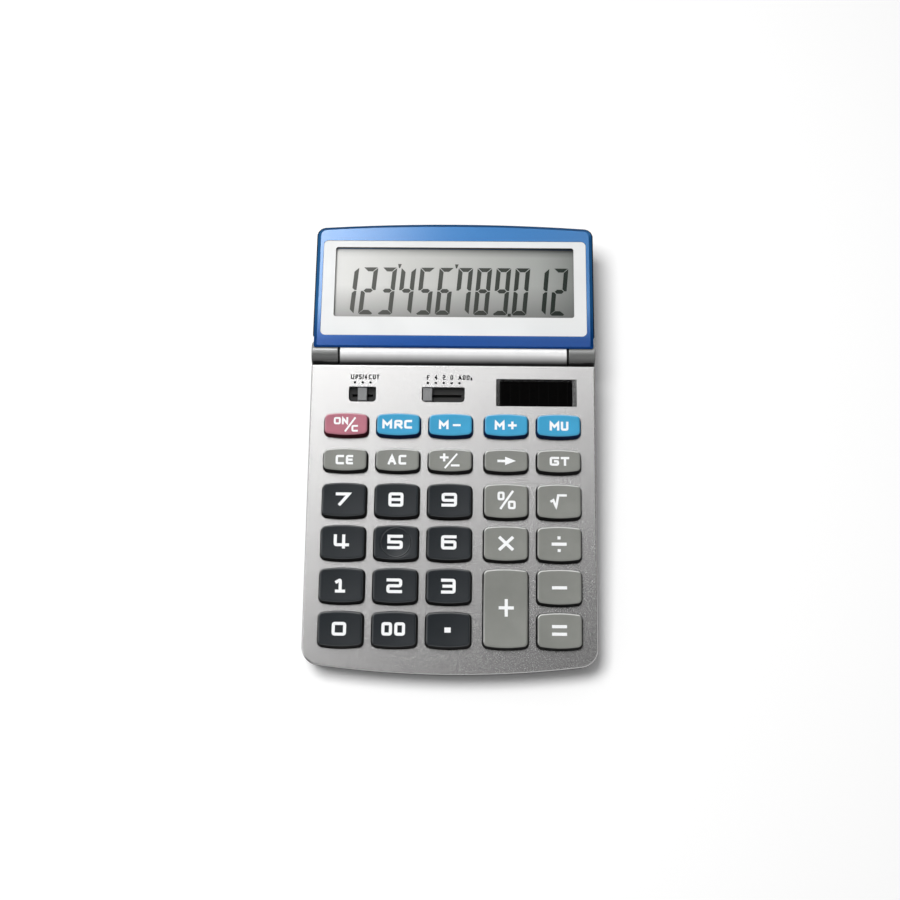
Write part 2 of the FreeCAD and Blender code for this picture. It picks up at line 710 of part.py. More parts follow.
def door_bed():
    front, rear = door_span()
    half = DOOR_WIDTH / 2 + DOOR_CLEARANCE + DOOR_TONGUE + 1.0
    low = door_bed_z()
    return box(CELL_U - half, CELL_U + half, front - 1.0, rear - CASE_WALL / 2, low, low + DOOR_BED_THICKNESS)


def cell_holder():
    """Round wall in the case that keeps the button cell in place."""
    radius = CELL_RADIUS + CELL_FIT + CELL_HOLDER_WALL
    return post(CELL_U, cell_y(), radius, door_bed_z(), door_bed_z() + CELL_HEIGHT)


def make_bottom_case():
    shell = case_outside().cut(case_inside())
    posts = []
    holes = []
    for u, v in screw_places():
        pillar = post(u, v, POST_RADIUS, -DECK_REAR_Z - CUT_SPARE, BOARD_BOTTOM_W)
        posts.append(on_deck(pillar).common(case_inside()))
        holes.append(on_deck(post(u, v, SCREW_SHANK_RADIUS + SCREW_CLEARANCE, SCREW_SEAT_W, BOARD_BOTTOM_W)))
        holes.append(on_deck(
            post(u, v, SCREW_HEAD_RADIUS + SCREW_CLEARANCE, -DECK_REAR_Z - CUT_SPARE, SCREW_SEAT_W)
        ))
    for x, y in feet_places():
        holes.append(post(x, y, FOOT_RADIUS + FOOT_FIT, 0.0, CASE_BOTTOM_Z + FOOT_SINK))
    holes.append(door_shape(DOOR_CLEARANCE))
    top = door_bed_z() + CELL_HEIGHT
    hollow = post(CELL_U, cell_y(), CELL_RADIUS + CELL_FIT, door_bed_z(), top)
    contact_width = CONTACT_WIDTH + 2 * CONTACT_CLEARANCE
    contact_slots = centred_box(
        CELL_U, cell_y(), 4 * CELL_RADIUS, contact_width, door_bed_z() + DOOR_BED_THICKNESS, top
    )
    case = joined([shell, door_bed(), cell_holder()] + posts)
    case = case.cut(holes + [hollow, contact_slots])
    export("bottom_case", case.cut(wire_drop()))


def make_rubber_keypad():
    """A sheet on the board with one hollow dome under each plunger, and a carbon pill in each dome."""
    sheet_top = BOARD_TOP_W + KEYPAD_SHEET
    front = ROW_V[0] - NUMBER_KEY_DEPTH / 2
    rear = ROW_V[-1] + FUNCTION_KEY_DEPTH / 2
    half = COLUMN_U[-1] + KEY_WIDTH / 2
    sheet = box(-half, half, front, rear, BOARD_TOP_W, sheet_top)
    domes = []
    hollows = []
    pills = []
    roof = PLUNGER_BOTTOM_W - 2 * DOME_WALL
    for name, u, v, depth, plungers in key_places():
        for offset in plungers:
            domes.append(cone(u, v + offset, DOME_BASE_RADIUS, DOME_TOP_RADIUS, BOARD_TOP_W, PLUNGER_BOTTOM_W))
            hollows.append(cone(
                u, v + offset, DOME_BASE_RADIUS - DOME_WALL, DOME_TOP_RADIUS - DOME_WALL / 2, BOARD_TOP_W, roof
            ))
            pills.append(post(u, v + offset, PILL_RADIUS, roof - PILL_THICKNESS, roof))
    for u, v in screw_places():
        hollows.append(post(u, v, BOSS_RADIUS + SCREW_CLEARANCE, BOARD_TOP_W, sheet_top))
    keypad = joined([sheet] + domes).cut(hollows)
    export("rubber_keypad", on_deck(keypad))
    export("carbon_pills", on_deck(group(pills)))


def board_plan_box():
    half = HALF_WIDTH - CASE_WALL - BOARD_EDGE_GAP
    return box(
        -half, half, FRONT_SCREW_V - BOSS_RADIUS, DECK_LENGTH - CASE_WALL - BOARD_EDGE_GAP,
        BOARD_BOTTOM_W, BOARD_TOP_W,
    )


def make_main_board():
    board = board_plan_box()
    inside = DECK_PLAN.prism(CASE_WALL + BOARD_EDGE_GAP, BOARD_BOTTOM_W, BOARD_TOP_W)
    board = board.common(inside)
    holes = [
        post(u, v, SCREW_SHANK_RADIUS + SCREW_CLEARANCE, BOARD_BOTTOM_W, BOARD_TOP_W)
        for u, v in screw_places()
    ]
    export("main_board", on_deck(board.cut(holes)))


def make_board_components():
    """Epoxy blob over the processor, a crystal can, an electrolytic can and a row of chip resistors."""
    under = BOARD_BOTTOM_W
    blob_u, blob_v = COLUMN_U[2] + BLOB_RADIUS, (ROW_V[3] + ROW_V[4]) / 2
    ball_radius = (BLOB_RADIUS ** 2 + BLOB_RISE ** 2) / (2 * BLOB_RISE)
    ball = Part.makeSphere(ball_radius, V(blob_u, blob_v, under + ball_radius - BLOB_RISE))
    blob_room = centred_box(blob_u, blob_v, 4 * BLOB_RADIUS, 4 * BLOB_RADIUS, under - 2 * BLOB_RISE, under)
    blob = ball.common(blob_room)
    crystal = centred_box(COLUMN_U[3], ROW_V[4], CRYSTAL_WIDTH, CRYSTAL_DEPTH, under - CRYSTAL_HEIGHT, under)
    crystal = crystal.makeFillet(CRYSTAL_ROUND, [e for e in crystal.Edges if e.Length < CRYSTAL_DEPTH - 0.1])
    capacitor = post(COLUMN_U[3], ROW_V[5], CAPACITOR_RADIUS, under - CAPACITOR_HEIGHT, under)
    resistors = [
        centred_box(
            COLUMN_U[2] + RESISTOR_PITCH * (index - 2), (ROW_V[4] + ROW_V[5]) / 2,
            RESISTOR_WIDTH, RESISTOR_DEPTH, under - RESISTOR_HEIGHT, under,
        )
        for index in range(RESISTOR_COUNT)
    ]
    export("board_components", on_deck(group([blob, crystal, capacitor] + resistors)))


def make_screws():
    """Self-tapping pan-head screws with a cross recess, up through the case and board into the cover."""
    top = BOARD_TOP_W + SCREW_BITE
    shapes = []
    for u, v in screw_places():
        shapes.append(screw(u, v, SCREW_SEAT_W, top))
    export("case_screws", on_deck(group(shapes)))


def screw(x, y, seat, top):
    """One screw that points up, with its head below the seat."""
    head_low = seat - SCREW_HEAD_THICKNESS
    head = post(x, y, SCREW_HEAD_RADIUS, head_low, seat)
    head = head.makeFillet(SCREW_HEAD_THICKNESS * 0.5, edges_at_height(head, head_low))
    shank = post(x, y, SCREW_SHANK_RADIUS, seat, top)
    slot_depth = SCREW_HEAD_THICKNESS * 0.55
    slot_length = SCREW_HEAD_RADIUS * 1.1
    slot_width = SCREW_HEAD_RADIUS * 0.28
    cross = [
        centred_box(x, y, slot_length, slot_width, head_low, head_low + slot_depth),
        centred_box(x, y, slot_width, slot_length, head_low, head_low + slot_depth),
    ]
    return joined([head, shank]).cut(cross)


def make_switch(name, u, places, rest_place):
    """A knob that slides in a body on the board. rest_place counts from the left, starting at 0."""
    travel = (places - 1) * SWITCH_STEP
    knob_u = u - travel / 2 + rest_place * SWITCH_STEP
    floor_w = -COVER_THICKNESS - SWITCH_BODY_GAP
    grip_low = floor_w + SWITCH_CLEARANCE
    grip = centred_box(0, 0, KNOB_WIDTH, KNOB_DEPTH, grip_low, KNOB_RISE)
    grip = grip.makeFillet(0.3, edges_at_height(grip, KNOB_RISE))
    pitch = KNOB_WIDTH / (KNOB_RIB_COUNT + 1)
    grooves = [
        centred_box(
            -KNOB_WIDTH / 2 + pitch * (index + 1), 0, KNOB_RIB_WIDTH, KNOB_DEPTH - 1.0,
            KNOB_RISE - KNOB_RIB_DEPTH, KNOB_RISE + 1.0,
        )
        for index in range(KNOB_RIB_COUNT)
    ]
    stem = centred_box(0, 0, KNOB_STEM_WIDTH, KNOB_STEM_DEPTH, floor_w - KNOB_STEM_REACH, grip_low)
    knob = joined([grip.cut(grooves), stem])
    export(name + "_switch_knob", on_deck(moved(knob, knob_u, SWITCH_WINDOW_V)))

    body_width = 2 * switch_half_window(places) + 2 * SWITCH_BODY_END
    body = centred_box(u, SWITCH_WINDOW_V, body_width, SWITCH_BODY_DEPTH, BOARD_TOP_W, floor_w)
    slot_length = travel + KNOB_STEM_WIDTH + 2 * SWITCH_CLEARANCE
    slot = centred_box(
        u, SWITCH_WINDOW_V, slot_length, KNOB_STEM_DEPTH + 2 * SWITCH_CLEARANCE,
        floor_w - KNOB_STEM_REACH - SWITCH_CLEARANCE, floor_w,
    )
    export(name + "_switch_body", on_deck(body.cut(slot)))


def make_solar_cell():
    width = SOLAR_WINDOW_WIDTH + 2 * SOLAR_CELL_OVERLAP
    depth = SOLAR_WINDOW_DEPTH + 2 * SOLAR_CELL_OVERLAP
    low = -COVER_THICKNESS - SOLAR_CELL_THICKNESS
    cell = centred_box(SOLAR_U, SOLAR_V, width, depth, low, -COVER_THICKNESS)
    export("solar_cell", on_deck(cell))


def solar_wires():
    """Two short wires from the cell's back to the board."""
    low = -COVER_THICKNESS - SOLAR_CELL_THICKNESS
    middle = (low + BOARD_TOP_W) / 2
    wires = []
    for side in (-0.5, 0.5):
        v = SOLAR_V + side * SOLAR_WIRE_SPACING
        wires.append(tube([
            V(SOLAR_U, v, low), V(SOLAR_U, v, middle),
            V(SOLAR_U - 4.0, v, middle), V(SOLAR_U - 4.0, v, BOARD_TOP_W),
        ], 0.9, SOLAR_WIRE_RADIUS))
    return on_deck(group(wires))


def make_feet():
    feet = []
    for x, y in feet_places():
        foot = post(x, y, FOOT_RADIUS, 0.0, CASE_BOTTOM_Z + FOOT_SINK)
        feet.append(foot.makeFillet(0.3, edges_at_height(foot, 0.0)))
    export("rubber_feet", group(feet))


def make_battery():
    low = door_bed_z() + 0.2
    top = low + CELL_HEIGHT
    y = cell_y()
    can = post(CELL_U, y, CELL_RADIUS, low, top)
    can = can.makeFillet(0.5, edges_at_height(can, top))
    pole = post(CELL_U, y, CELL_RADIUS - 1.2, low - 0.2, low)
    export("button_cell", joined([can, pole]))

    half = CONTACT_WIDTH / 2
    front = y - CELL_RADIUS
    side = CELL_U + CELL_RADIUS
    top_spring = box(CELL_U - half, CELL_U + half, front, y + half, top, top + CONTACT_THICKNESS)
    top_leg = box(
        CELL_U - half, CELL_U + half, front, front + CONTACT_THICKNESS,
        top, under_board_z(front),
    )
    side_leg = box(
        side, side + CONTACT_THICKNESS, y - half, y + half,
        door_bed_z() + DOOR_BED_THICKNESS, under_board_z(y - half),
    )
    export("battery_contacts", group([joined([top_spring, top_leg]), side_leg]))


def under_board_z(y):
    """Height of the board's underside above a place on the part's Y axis."""
    drop = -BOARD_BOTTOM_W / math.cos(SLOPE)
    return DECK_FRONT_HEIGHT + (y - FRONT_Y) * math.tan(SLOPE) - drop


def make_battery_door():
    front, rear = door_span()
    door = door_shape(0.0)
    rear_edge = [edge for edge in edges_at_height(door, CASE_BOTTOM_Z) if edge.BoundBox.YMin > rear - 0.01]
    door = door.makeFillet(CASE_EDGE_ROUND, rear_edge)
    grips = [
        box(CELL_U - 4.0, CELL_U + 4.0, rear - 9.0 + 1.4 * index, rear - 8.5 + 1.4 * index,
            CASE_BOTTOM_Z, CASE_BOTTOM_Z + 0.3)
        for index in range(4)
    ]
    export("battery_door", door.cut(grips))


def make_hinge_barrel():
    barrel = rod_x(BARREL_RADIUS, -BARREL_END_U, BARREL_END_U)
    rims = [edge for edge in barrel.Edges if edge.BoundBox.XMax - edge.BoundBox.XMin < 0.01]
    barrel = barrel.makeFillet(BARREL_EDGE_ROUND, rims)
    bore = rod_x(BARREL_BORE_RADIUS, -BARREL_END_U, BARREL_END_U)
    export("hinge_barrel", barrel.cut([bore, wire_drop()]))


def wire_drop():
    """Hole down from the barrel's bore, through the trough, into the case."""
    low = AXIS_Z - BARREL_RADIUS - TROUGH_WALL - 1.0
    return post(WIRE_DROP_X, AXIS_Y, WIRE_RADIUS + 2 * WIRE_DUCT_CLEARANCE, low, AXIS_Z)


def hinge_cap():
    """Right-hand cap: a cylinder on the axis and an arm back to the display case."""
    cap = rod_x(BARREL_RADIUS, CAP_INNER_U, CAP_OUTER_U)
    rims = [edge for edge in cap.Edges if edge.BoundBox.XMax - edge.BoundBox.XMin < 0.01]
    cap = cap.makeFillet(HINGE_CAP_EDGE, rims)
    arm = box(
        CAP_INNER_U + 1.0, CAP_OUTER_U - 1.6, AXIS_Y, DISPLAY_WALL_Y,
        AXIS_Z - 3.2, DISPLAY_TOP_Z - DISPLAY_TOP_PLATE,
    )
    pin_hole = rod_x(BARREL_BORE_RADIUS - HINGE_PIN_FIT, CAP_INNER_U, CAP_INNER_U + HINGE_PIN_IN_CAP)
    return joined([cap, arm]).cut(pin_hole)


def wire_turn_x():
    """Where the wires leave the hinge axis inside the left-hand cap."""
    return -CAP_INNER_U - WIRE_TURN_IN_CAP


def wire_duct():
    """Channel in the left-hand cap and pin that leads the wires back to the display case."""
    radius = WIRE_RADIUS + WIRE_DUCT_CLEARANCE
    along = rod_x(radius, wire_turn_x() - radius, -CAP_INNER_U)
    length = DISPLAY_FRONT_WALL_BEHIND_AXIS + DISPLAY_WALL + 1.0
    back = Part.makeCylinder(radius, length, V(wire_turn_x(), AXIS_Y, AXIS_Z), V(0, 1, 0))
    return joined([along, back])


def make_hinge():
    cap = hinge_cap()
    export("hinge_cap_right", cap)
    export("hinge_cap_left", mirrored_x(cap).cut(wire_duct()))
    pin = rod_x(
        BARREL_BORE_RADIUS - HINGE_PIN_FIT, BARREL_END_U - HINGE_PIN_IN_BARREL, CAP_INNER_U + HINGE_PIN_IN_CAP
    )
    pin = pin.cut(rod_x(HINGE_PIN_BORE, BARREL_END_U - HINGE_PIN_IN_BARREL, CAP_INNER_U + HINGE_PIN_IN_CAP))
    export("hinge_pins", group([pin, mirrored_x(pin).cut(wire_duct())]))
    washer_low = BARREL_END_U + (HINGE_SIDE_GAP - WASHER_THICKNESS) / 2
    washer = rod_x(WASHER_RADIUS, washer_low, washer_low + WASHER_THICKNESS)
    washer = washer.cut(rod_x(BARREL_BORE_RADIUS + 0.05, washer_low, washer_low + WASHER_THICKNESS))
    export("hinge_washers", group([washer, mirrored_x(washer)]))


def display_plan(inset_side, front, inset_rear, front_corner, rear_corner):
    """Outline of the display unit or of a piece that lies inside it."""
    return Plan(
        DISPLAY_WIDTH / 2 - inset_side, front, DISPLAY_REAR_Y - inset_rear,
        None, DISPLAY_REAR_CROWN, front_corner, rear_corner,
    )


FRAME_PLAN = display_plan(
    DISPLAY_CASE_PROUD, DISPLAY_FRONT_Y, DISPLAY_CASE_PROUD, DISPLAY_FRONT_CORNER, DISPLAY_REAR_CORNER
)
FRAME_TOP_PLAN = display_plan(
    DISPLAY_CASE_PROUD + DISPLAY_BEVEL_WIDTH, DISPLAY_FRONT_Y + DISPLAY_FRONT_BEVEL,
    DISPLAY_CASE_PROUD + DISPLAY_BEVEL_WIDTH, DISPLAY_FRONT_CORNER, DISPLAY_REAR_CORNER - DISPLAY_BEVEL_WIDTH,
)
DISPLAY_BOX_PLAN = display_plan(0.0, DISPLAY_WALL_Y, 0.0, DISPLAY_FRONT_CORNER, DISPLAY_REAR_CORNER)
DISPLAY_FOOT_PLAN = display_plan(
    0.0, DISPLAY_WALL_Y, 0.0, DISPLAY_CASE_FRONT_CORNER, DISPLAY_CASE_REAR_CORNER
)


def window_plan(grow_side, grow_front, grow_rear, corner):
    front = DISPLAY_FRONT_Y + WINDOW_FROM_FRONT
    return Plan(
        WINDOW_WIDTH / 2 + grow_side, front - grow_front, front + WINDOW_DEPTH + grow_rear,
        None, None, corner, corner,
    )


def panel_plan():
    front = DISPLAY_FRONT_Y + PANEL_FROM_FRONT
    return Plan(PANEL_WIDTH / 2, front, front + PANEL_DEPTH, None, None, PANEL_CORNER, PANEL_CORNER)


def display_boss_places():
    """The frame hooks in at the front, behind the hinge, and is screwed down at the rear."""
    half = DISPLAY_WIDTH / 2 - DISPLAY_BOSS_FROM_SIDE
    return [(side * half, DISPLAY_REAR_Y - DISPLAY_BOSS_FROM_REAR) for side in (-1, 1)]


def glass_top_z():
    return DISPLAY_TOP_Z - DISPLAY_TOP_PLATE


def display_board_top_z():
    return glass_top_z() - GLASS_THICKNESS - GLASS_TO_BOARD


def boss_bottom_z():
    return glass_top_z() - DISPLAY_BOSS_LENGTH


def display_seat_z():
    return DISPLAY_BOTTOM_Z + DISPLAY_SCREW_SEAT_DEPTH


def front_bridge(clearance):
    """Room above the case's front wall where the frame keeps its full thickness."""
    half = DISPLAY_WIDTH / 2 - 2 * DISPLAY_WALL - clearance
    return box(
        -half, half, DISPLAY_WALL_Y - 1.0, DISPLAY_WALL_Y + 2 * DISPLAY_WALL, glass_top_z(), DISPLAY_SEAM_Z
    )


def make_display_frame():
    """Blue frame: bevelled plate with the panel's recess, a skirt inside the case and screw bosses."""
    low = glass_top_z()
    bevel_z = DISPLAY_TOP_Z - DISPLAY_BEVEL_DROP
    plate = FRAME_PLAN.prism(0.0, low, bevel_z)
    bevel = ruled(FRAME_PLAN.wire(0.0, bevel_z), FRAME_TOP_PLAN.wire(0.0, DISPLAY_TOP_Z))
    skirt_inset = DISPLAY_WALL + SEAM_CLEARANCE
    wall_groove = DISPLAY_BOX_PLAN.prism(-SEAM_CLEARANCE, low, DISPLAY_SEAM_Z).cut([
        DISPLAY_BOX_PLAN.prism(skirt_inset, low, DISPLAY_SEAM_Z), front_bridge(SEAM_CLEARANCE)
    ])
    plate = plate.cut(wall_groove)
    skirt_low = low - DISPLAY_SKIRT_DEPTH
    skirt_inset += math.tan(math.radians(DISPLAY_CASE_DRAFT_DEG)) * (DISPLAY_SEAM_Z - skirt_low)
    skirt = DISPLAY_BOX_PLAN.prism(skirt_inset, skirt_low, low).cut(
        DISPLAY_BOX_PLAN.prism(skirt_inset + DISPLAY_SKIRT_THICKNESS, skirt_low, low)
    )
    bosses = [post(x, y, DISPLAY_BOSS_RADIUS, boss_bottom_z(), low) for x, y in display_boss_places()]
    frame = joined([plate, bevel, skirt] + bosses)
    recess_low = DISPLAY_TOP_Z - PANEL_SINK - PANEL_THICKNESS
    cuts = [
        panel_plan().prism(-PANEL_CLEARANCE, recess_low, DISPLAY_TOP_Z + 1.0),
        panel_plan().prism(PANEL_LEDGE, low - 1.0, DISPLAY_TOP_Z),
        rod_x(BARREL_RADIUS + TILT_CLEARANCE, -HALF_WIDTH - 1.0, HALF_WIDTH + 1.0),
    ]
    for x, y in display_boss_places():
        cuts.append(post(x, y, SCREW_SHANK_RADIUS + SCREW_FIT, boss_bottom_z(), recess_low - 0.3))
    export("display_frame", frame.cut(cuts))


def make_display_panel():
    top = DISPLAY_TOP_Z - PANEL_SINK
    panel = panel_plan().prism(0.0, top - PANEL_THICKNESS, top)
    window = window_plan(0.0, 0.0, 0.0, WINDOW_CORNER).prism(0.0, top - PANEL_THICKNESS, top)
    export("display_panel", panel.cut(window))


def glass_plan(grow, front_inset, corner):
    """Outline of the glass, grown all round or drawn in at the front."""
    side = GLASS_OVERLAP + grow
    return window_plan(side, side - front_inset, GLASS_REAR_OVERLAP + grow, corner)


def make_lcd():
    """Front glass, with a contact ledge at the front, on a shorter rear glass, and what carries them."""
    top = glass_top_z()
    rear_glass_low = top - 2 * GLASS_THICKNESS
    board_top = display_board_top_z()
    front_glass = glass_plan(0.0, 0.0, 0.3).prism(0.0, top - GLASS_THICKNESS, top)
    rear_glass = glass_plan(0.0, GLASS_LEDGE, 0.3).prism(0.0, rear_glass_low, top - GLASS_THICKNESS)
    export("lcd_glass", joined([front_glass, rear_glass]))

    half = WINDOW_WIDTH / 2 + GLASS_OVERLAP - CONNECTOR_END_INSET
    front = DISPLAY_FRONT_Y + WINDOW_FROM_FRONT - GLASS_OVERLAP + (GLASS_LEDGE - CONNECTOR_WIDTH) / 2
    rear = front + CONNECTOR_WIDTH
    export("lcd_connector", box(-half, half, front, rear, board_top, top - GLASS_THICKNESS))

    outline = glass_plan(HOLDER_WALL, 0.0, 0.8)
    export("display_board", outline.prism(0.0, board_top - DISPLAY_BOARD_THICKNESS, board_top))

    gap = HOLDER_GAP
    holder = outline.prism(0.0, board_top, top).cut([
        glass_plan(gap, 0.0, 0.3).prism(0.0, rear_glass_low, top),
        glass_plan(-HOLDER_LIP, 0.0, 0.8).prism(0.0, board_top, top),
        box(-half - gap, half + gap, front - gap, rear + gap, board_top, top),
    ])
    export("lcd_holder", holder)


def make_display_rear_case():
    """Dark rear shell of the display, with its front wall behind the barrel and two stop pads."""
    draft = math.tan(math.radians(DISPLAY_CASE_DRAFT_DEG)) * (DISPLAY_SEAM_Z - DISPLAY_BOTTOM_Z)
    seam = DISPLAY_BOX_PLAN.wire(0.0, DISPLAY_SEAM_Z)
    shell = ruled(DISPLAY_FOOT_PLAN.wire(draft, DISPLAY_BOTTOM_Z), seam)
    shell = shell.makeFillet(DISPLAY_CASE_ROUND, edges_at_height(shell, DISPLAY_BOTTOM_Z))
    inner = ruled(
        DISPLAY_FOOT_PLAN.wire(draft + DISPLAY_WALL, DISPLAY_BOTTOM_Z + DISPLAY_WALL),
        DISPLAY_BOX_PLAN.wire(DISPLAY_WALL, DISPLAY_SEAM_Z),
    )
    shell = shell.cut(inner)
    top = boss_bottom_z()
    seat = display_seat_z()
    posts = []
    holes = []
    for x, y in display_boss_places():
        low_post = post(x, y, DISPLAY_POST_RADIUS, DISPLAY_BOTTOM_Z + 0.5, seat)
        high_post = post(x, y, DISPLAY_BOSS_RADIUS, seat, top)
        posts.append(joined([low_post, high_post]))
        holes.append(post(x, y, SCREW_SHANK_RADIUS + SCREW_CLEARANCE, seat, top))
        holes.append(post(
            x, y, SCREW_HEAD_RADIUS + SCREW_CLEARANCE, DISPLAY_BOTTOM_Z, seat - SCREW_SEAT_THICKNESS
        ))
        holes.append(post(x, y, SCREW_SHANK_RADIUS + SCREW_CLEARANCE, seat - SCREW_SEAT_THICKNESS, seat))
        holes.append(post(x, y, DISPLAY_BOSS_RADIUS + SEAM_CLEARANCE, top, DISPLAY_SEAM_Z))
    middle_wall = ruled(
        DISPLAY_FOOT_PLAN.wire(draft + DISPLAY_WALL / 2, DISPLAY_BOTTOM_Z),
        DISPLAY_BOX_PLAN.wire(DISPLAY_WALL / 2, DISPLAY_SEAM_Z),
    )
    posts = [pillar.common(middle_wall) for pillar in posts]
    pads = []
    pad_front = AXIS_Y + TROUGH_BACK + STOP_PAD_GAP
    for side in (-1, 1):
        x = side * STOP_PAD_U
        pads.append(box(
            x - STOP_PAD_WIDTH / 2, x + STOP_PAD_WIDTH / 2, pad_front, DISPLAY_WALL_Y + 1.2,
            DISPLAY_BOTTOM_Z + DISPLAY_CASE_ROUND, DISPLAY_BOTTOM_Z + DISPLAY_CASE_ROUND + STOP_PAD_HEIGHT,
        ))
    case = joined([shell] + posts + pads).cut(holes)
    export("display_rear_case", case.cut([wire_duct(), front_bridge(0.0)]))
    screws = [
        screw(x, y, seat - SCREW_SEAT_THICKNESS, top + DISPLAY_BOSS_LENGTH - 0.2)
        for x, y in display_boss_places()
    ]
    export("display_screws", group(screws))


def make_wires():
    """The wires run on the hinge axis, so the tilt only twists them. They meet inside the barrel."""
    meet = V(-BARREL_END_U + HINGE_PIN_IN_BARREL + 1.0, AXIS_Y, AXIS_Z)
    turn_x = wire_turn_x()
    down_y = DISPLAY_WALL_Y + DISPLAY_WALL + WIRE_RADIUS + 1.0
    low_z = DISPLAY_BOTTOM_Z + DISPLAY_WALL + WIRE_RADIUS + 0.1
    end_y = down_y + 3 * WIRE_BEND
    export("display_wires", tube([
        meet,
        V(turn_x, AXIS_Y, AXIS_Z),
        V(turn_x, down_y, AXIS_Z),
        V(turn_x, down_y, low_z),
        V(turn_x, end_y, low_z),
        V(turn_x, end_y, display_board_top_z() - DISPLAY_BOARD_THICKNESS),
    ], WIRE_BEND, WIRE_RADIUS))
    under_z = AXIS_Z - BARREL_RADIUS - TROUGH_WALL - 2 * WIRE_BEND
    end_y = DECK_REAR_Y - 3 * WIRE_BEND
    bundle = tube([
        meet,
        V(WIRE_DROP_X, AXIS_Y, AXIS_Z),
        V(WIRE_DROP_X, AXIS_Y, under_z),
        V(WIRE_DROP_X, end_y, under_z),
        V(WIRE_DROP_X, end_y, under_board_z(end_y - WIRE_RADIUS)),
    ], WIRE_BEND, WIRE_RADIUS)
    export("base_wires", group([bundle, solar_wires()]))


os.makedirs("parts", exist_ok=True)
make_keys()
make_top_cover()
make_bottom_case()
make_rubber_keypad()
make_main_board()
make_board_components()
make_screws()
make_switch("round", ROUND_SWITCH_U, ROUND_SWITCH_PLACES, 1)
make_switch("decimal", DECIMAL_SWITCH_U, DECIMAL_SWITCH_PLACES, 0)
make_solar_cell()
make_feet()
make_battery()
make_battery_door()
make_hinge_barrel()
make_hinge()
make_display_frame()
make_display_panel()
make_lcd()
make_display_rear_case()
make_wires()
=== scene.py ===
import json
import math

import bmesh
import bpy
from mathutils import Matrix, Vector
from mathutils.bvhtree import BVHTree


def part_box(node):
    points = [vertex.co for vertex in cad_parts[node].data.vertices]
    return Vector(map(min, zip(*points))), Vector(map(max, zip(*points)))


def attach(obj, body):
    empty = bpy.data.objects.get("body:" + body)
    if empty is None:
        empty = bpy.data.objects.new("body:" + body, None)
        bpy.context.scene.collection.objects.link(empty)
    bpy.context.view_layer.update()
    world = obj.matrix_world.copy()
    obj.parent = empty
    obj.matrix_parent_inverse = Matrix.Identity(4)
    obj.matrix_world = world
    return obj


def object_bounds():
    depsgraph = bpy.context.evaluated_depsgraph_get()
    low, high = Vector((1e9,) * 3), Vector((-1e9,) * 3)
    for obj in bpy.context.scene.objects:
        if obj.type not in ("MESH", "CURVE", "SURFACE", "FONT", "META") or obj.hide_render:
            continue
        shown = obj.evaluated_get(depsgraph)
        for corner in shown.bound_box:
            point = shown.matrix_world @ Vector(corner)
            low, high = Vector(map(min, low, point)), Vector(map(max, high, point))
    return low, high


# Looks of a desktop calculator with a tilting display, in metres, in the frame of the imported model.
# Sizes and places below are in millimetres and are turned into metres by MM.

MM = 0.001

# Keyboard plane: u to the right, v up the slope from the front edge, w square to the deck
DECK_SLOPE_DEG = 4.0
DECK_FRONT_HEIGHT = 12.0

# Camera
SENSOR_WIDTH = 36.0
CAMERA_LENS = 60.0
CAMERA_PLACE = Vector((8.181, -179.371, 549.619))
CAMERA_BACK = Vector((0.0159942, -0.3128866, 0.9496558))
CAMERA_RIGHT = Vector((0.9998352, 0.013164, -0.0125021))

# Floor and key light, in metres and watts
FLOOR_HALF = 3.0
FLOOR_ALBEDO = 0.98
FLOOR_LIFT = 0.1
KEY_LIGHT_PLACE = (-0.26, 0.08, 1.0)
KEY_LIGHT_SIZE = (0.45, 0.45)
KEY_LIGHT_POWER = 9.0

# Surroundings as matt surfaces see them: brighter to one side
FILL_SIDE = (-0.4, 0.55, 0.73)
FILL_DARK = 0.05
FILL_BRIGHT = 0.42

# Surroundings as gloss sees them: steps from the front to the rear left, and one soft bright patch
GLOSS_SIDE = (-0.62, 1.0, 0.0)
GLOSS_FRONT = 0.75

# Where each step starts and ends, as a cosine with that side, and its change in brightness
GLOSS_STEPS = [
    (-0.5, -0.25, -GLOSS_FRONT),
    (0.05, 0.35, 2.2),
    (0.34, 0.42, -1.6),
    (0.52, 0.7, 0.35),
    (0.8, 0.95, -0.35),
]
PATCH_SIDE = tuple(Vector((-0.18, 0.458, 0.8)).normalized())
PATCH_BRIGHT = 11.5
PATCH_INNER = math.radians(4)
PATCH_OUTER = math.radians(10)

# Printed ink on the keys and the deck
INK_LIFT = 0.03
INK_DEPTH = 0.05
STROKE_STEP = 0.004
PATH_STEP = 0.6
DRAPE_FROM = 4.0
DOT_RADIUS = 0.48
DOT_SIDES = 20

# Corners of a stroke: how much of a run an arc may take, what stays sharp, and how far a mitre may reach
CORNER_STEPS = 5
CORNER_SHARE = 0.49
SHARP_HALF_ANGLE = math.radians(25)
LEAST_MITRE_COSINE = 0.45

# Pens: width of the stroke and radius of its corners
DIGIT = (1.12, 0.6)
DIGIT_SHARP = (1.12, 0.0)
LETTER = (0.86, 0.45)
LETTER_SHARP = (0.86, 0.0)
SMALL_LETTER = (0.72, 0.45)
SMALL_LETTER_SHARP = (0.72, 0.0)
SIGN = (1.15, 0.0)
ARROW = (0.95, 0.0)
SMALL_BAR = (0.8, 0.0)
SLASH = (0.7, 0.0)
FILLED = (0.0, 0.0)
MARK = (0.42, 0.3)

# Fine ridge round the finger dish of the middle key
RIDGE_RADIUS = 5.35
RIDGE_HALF_THICKNESS = 0.22
RIDGE_STEPS = 72
RIDGE_SIDES = 10

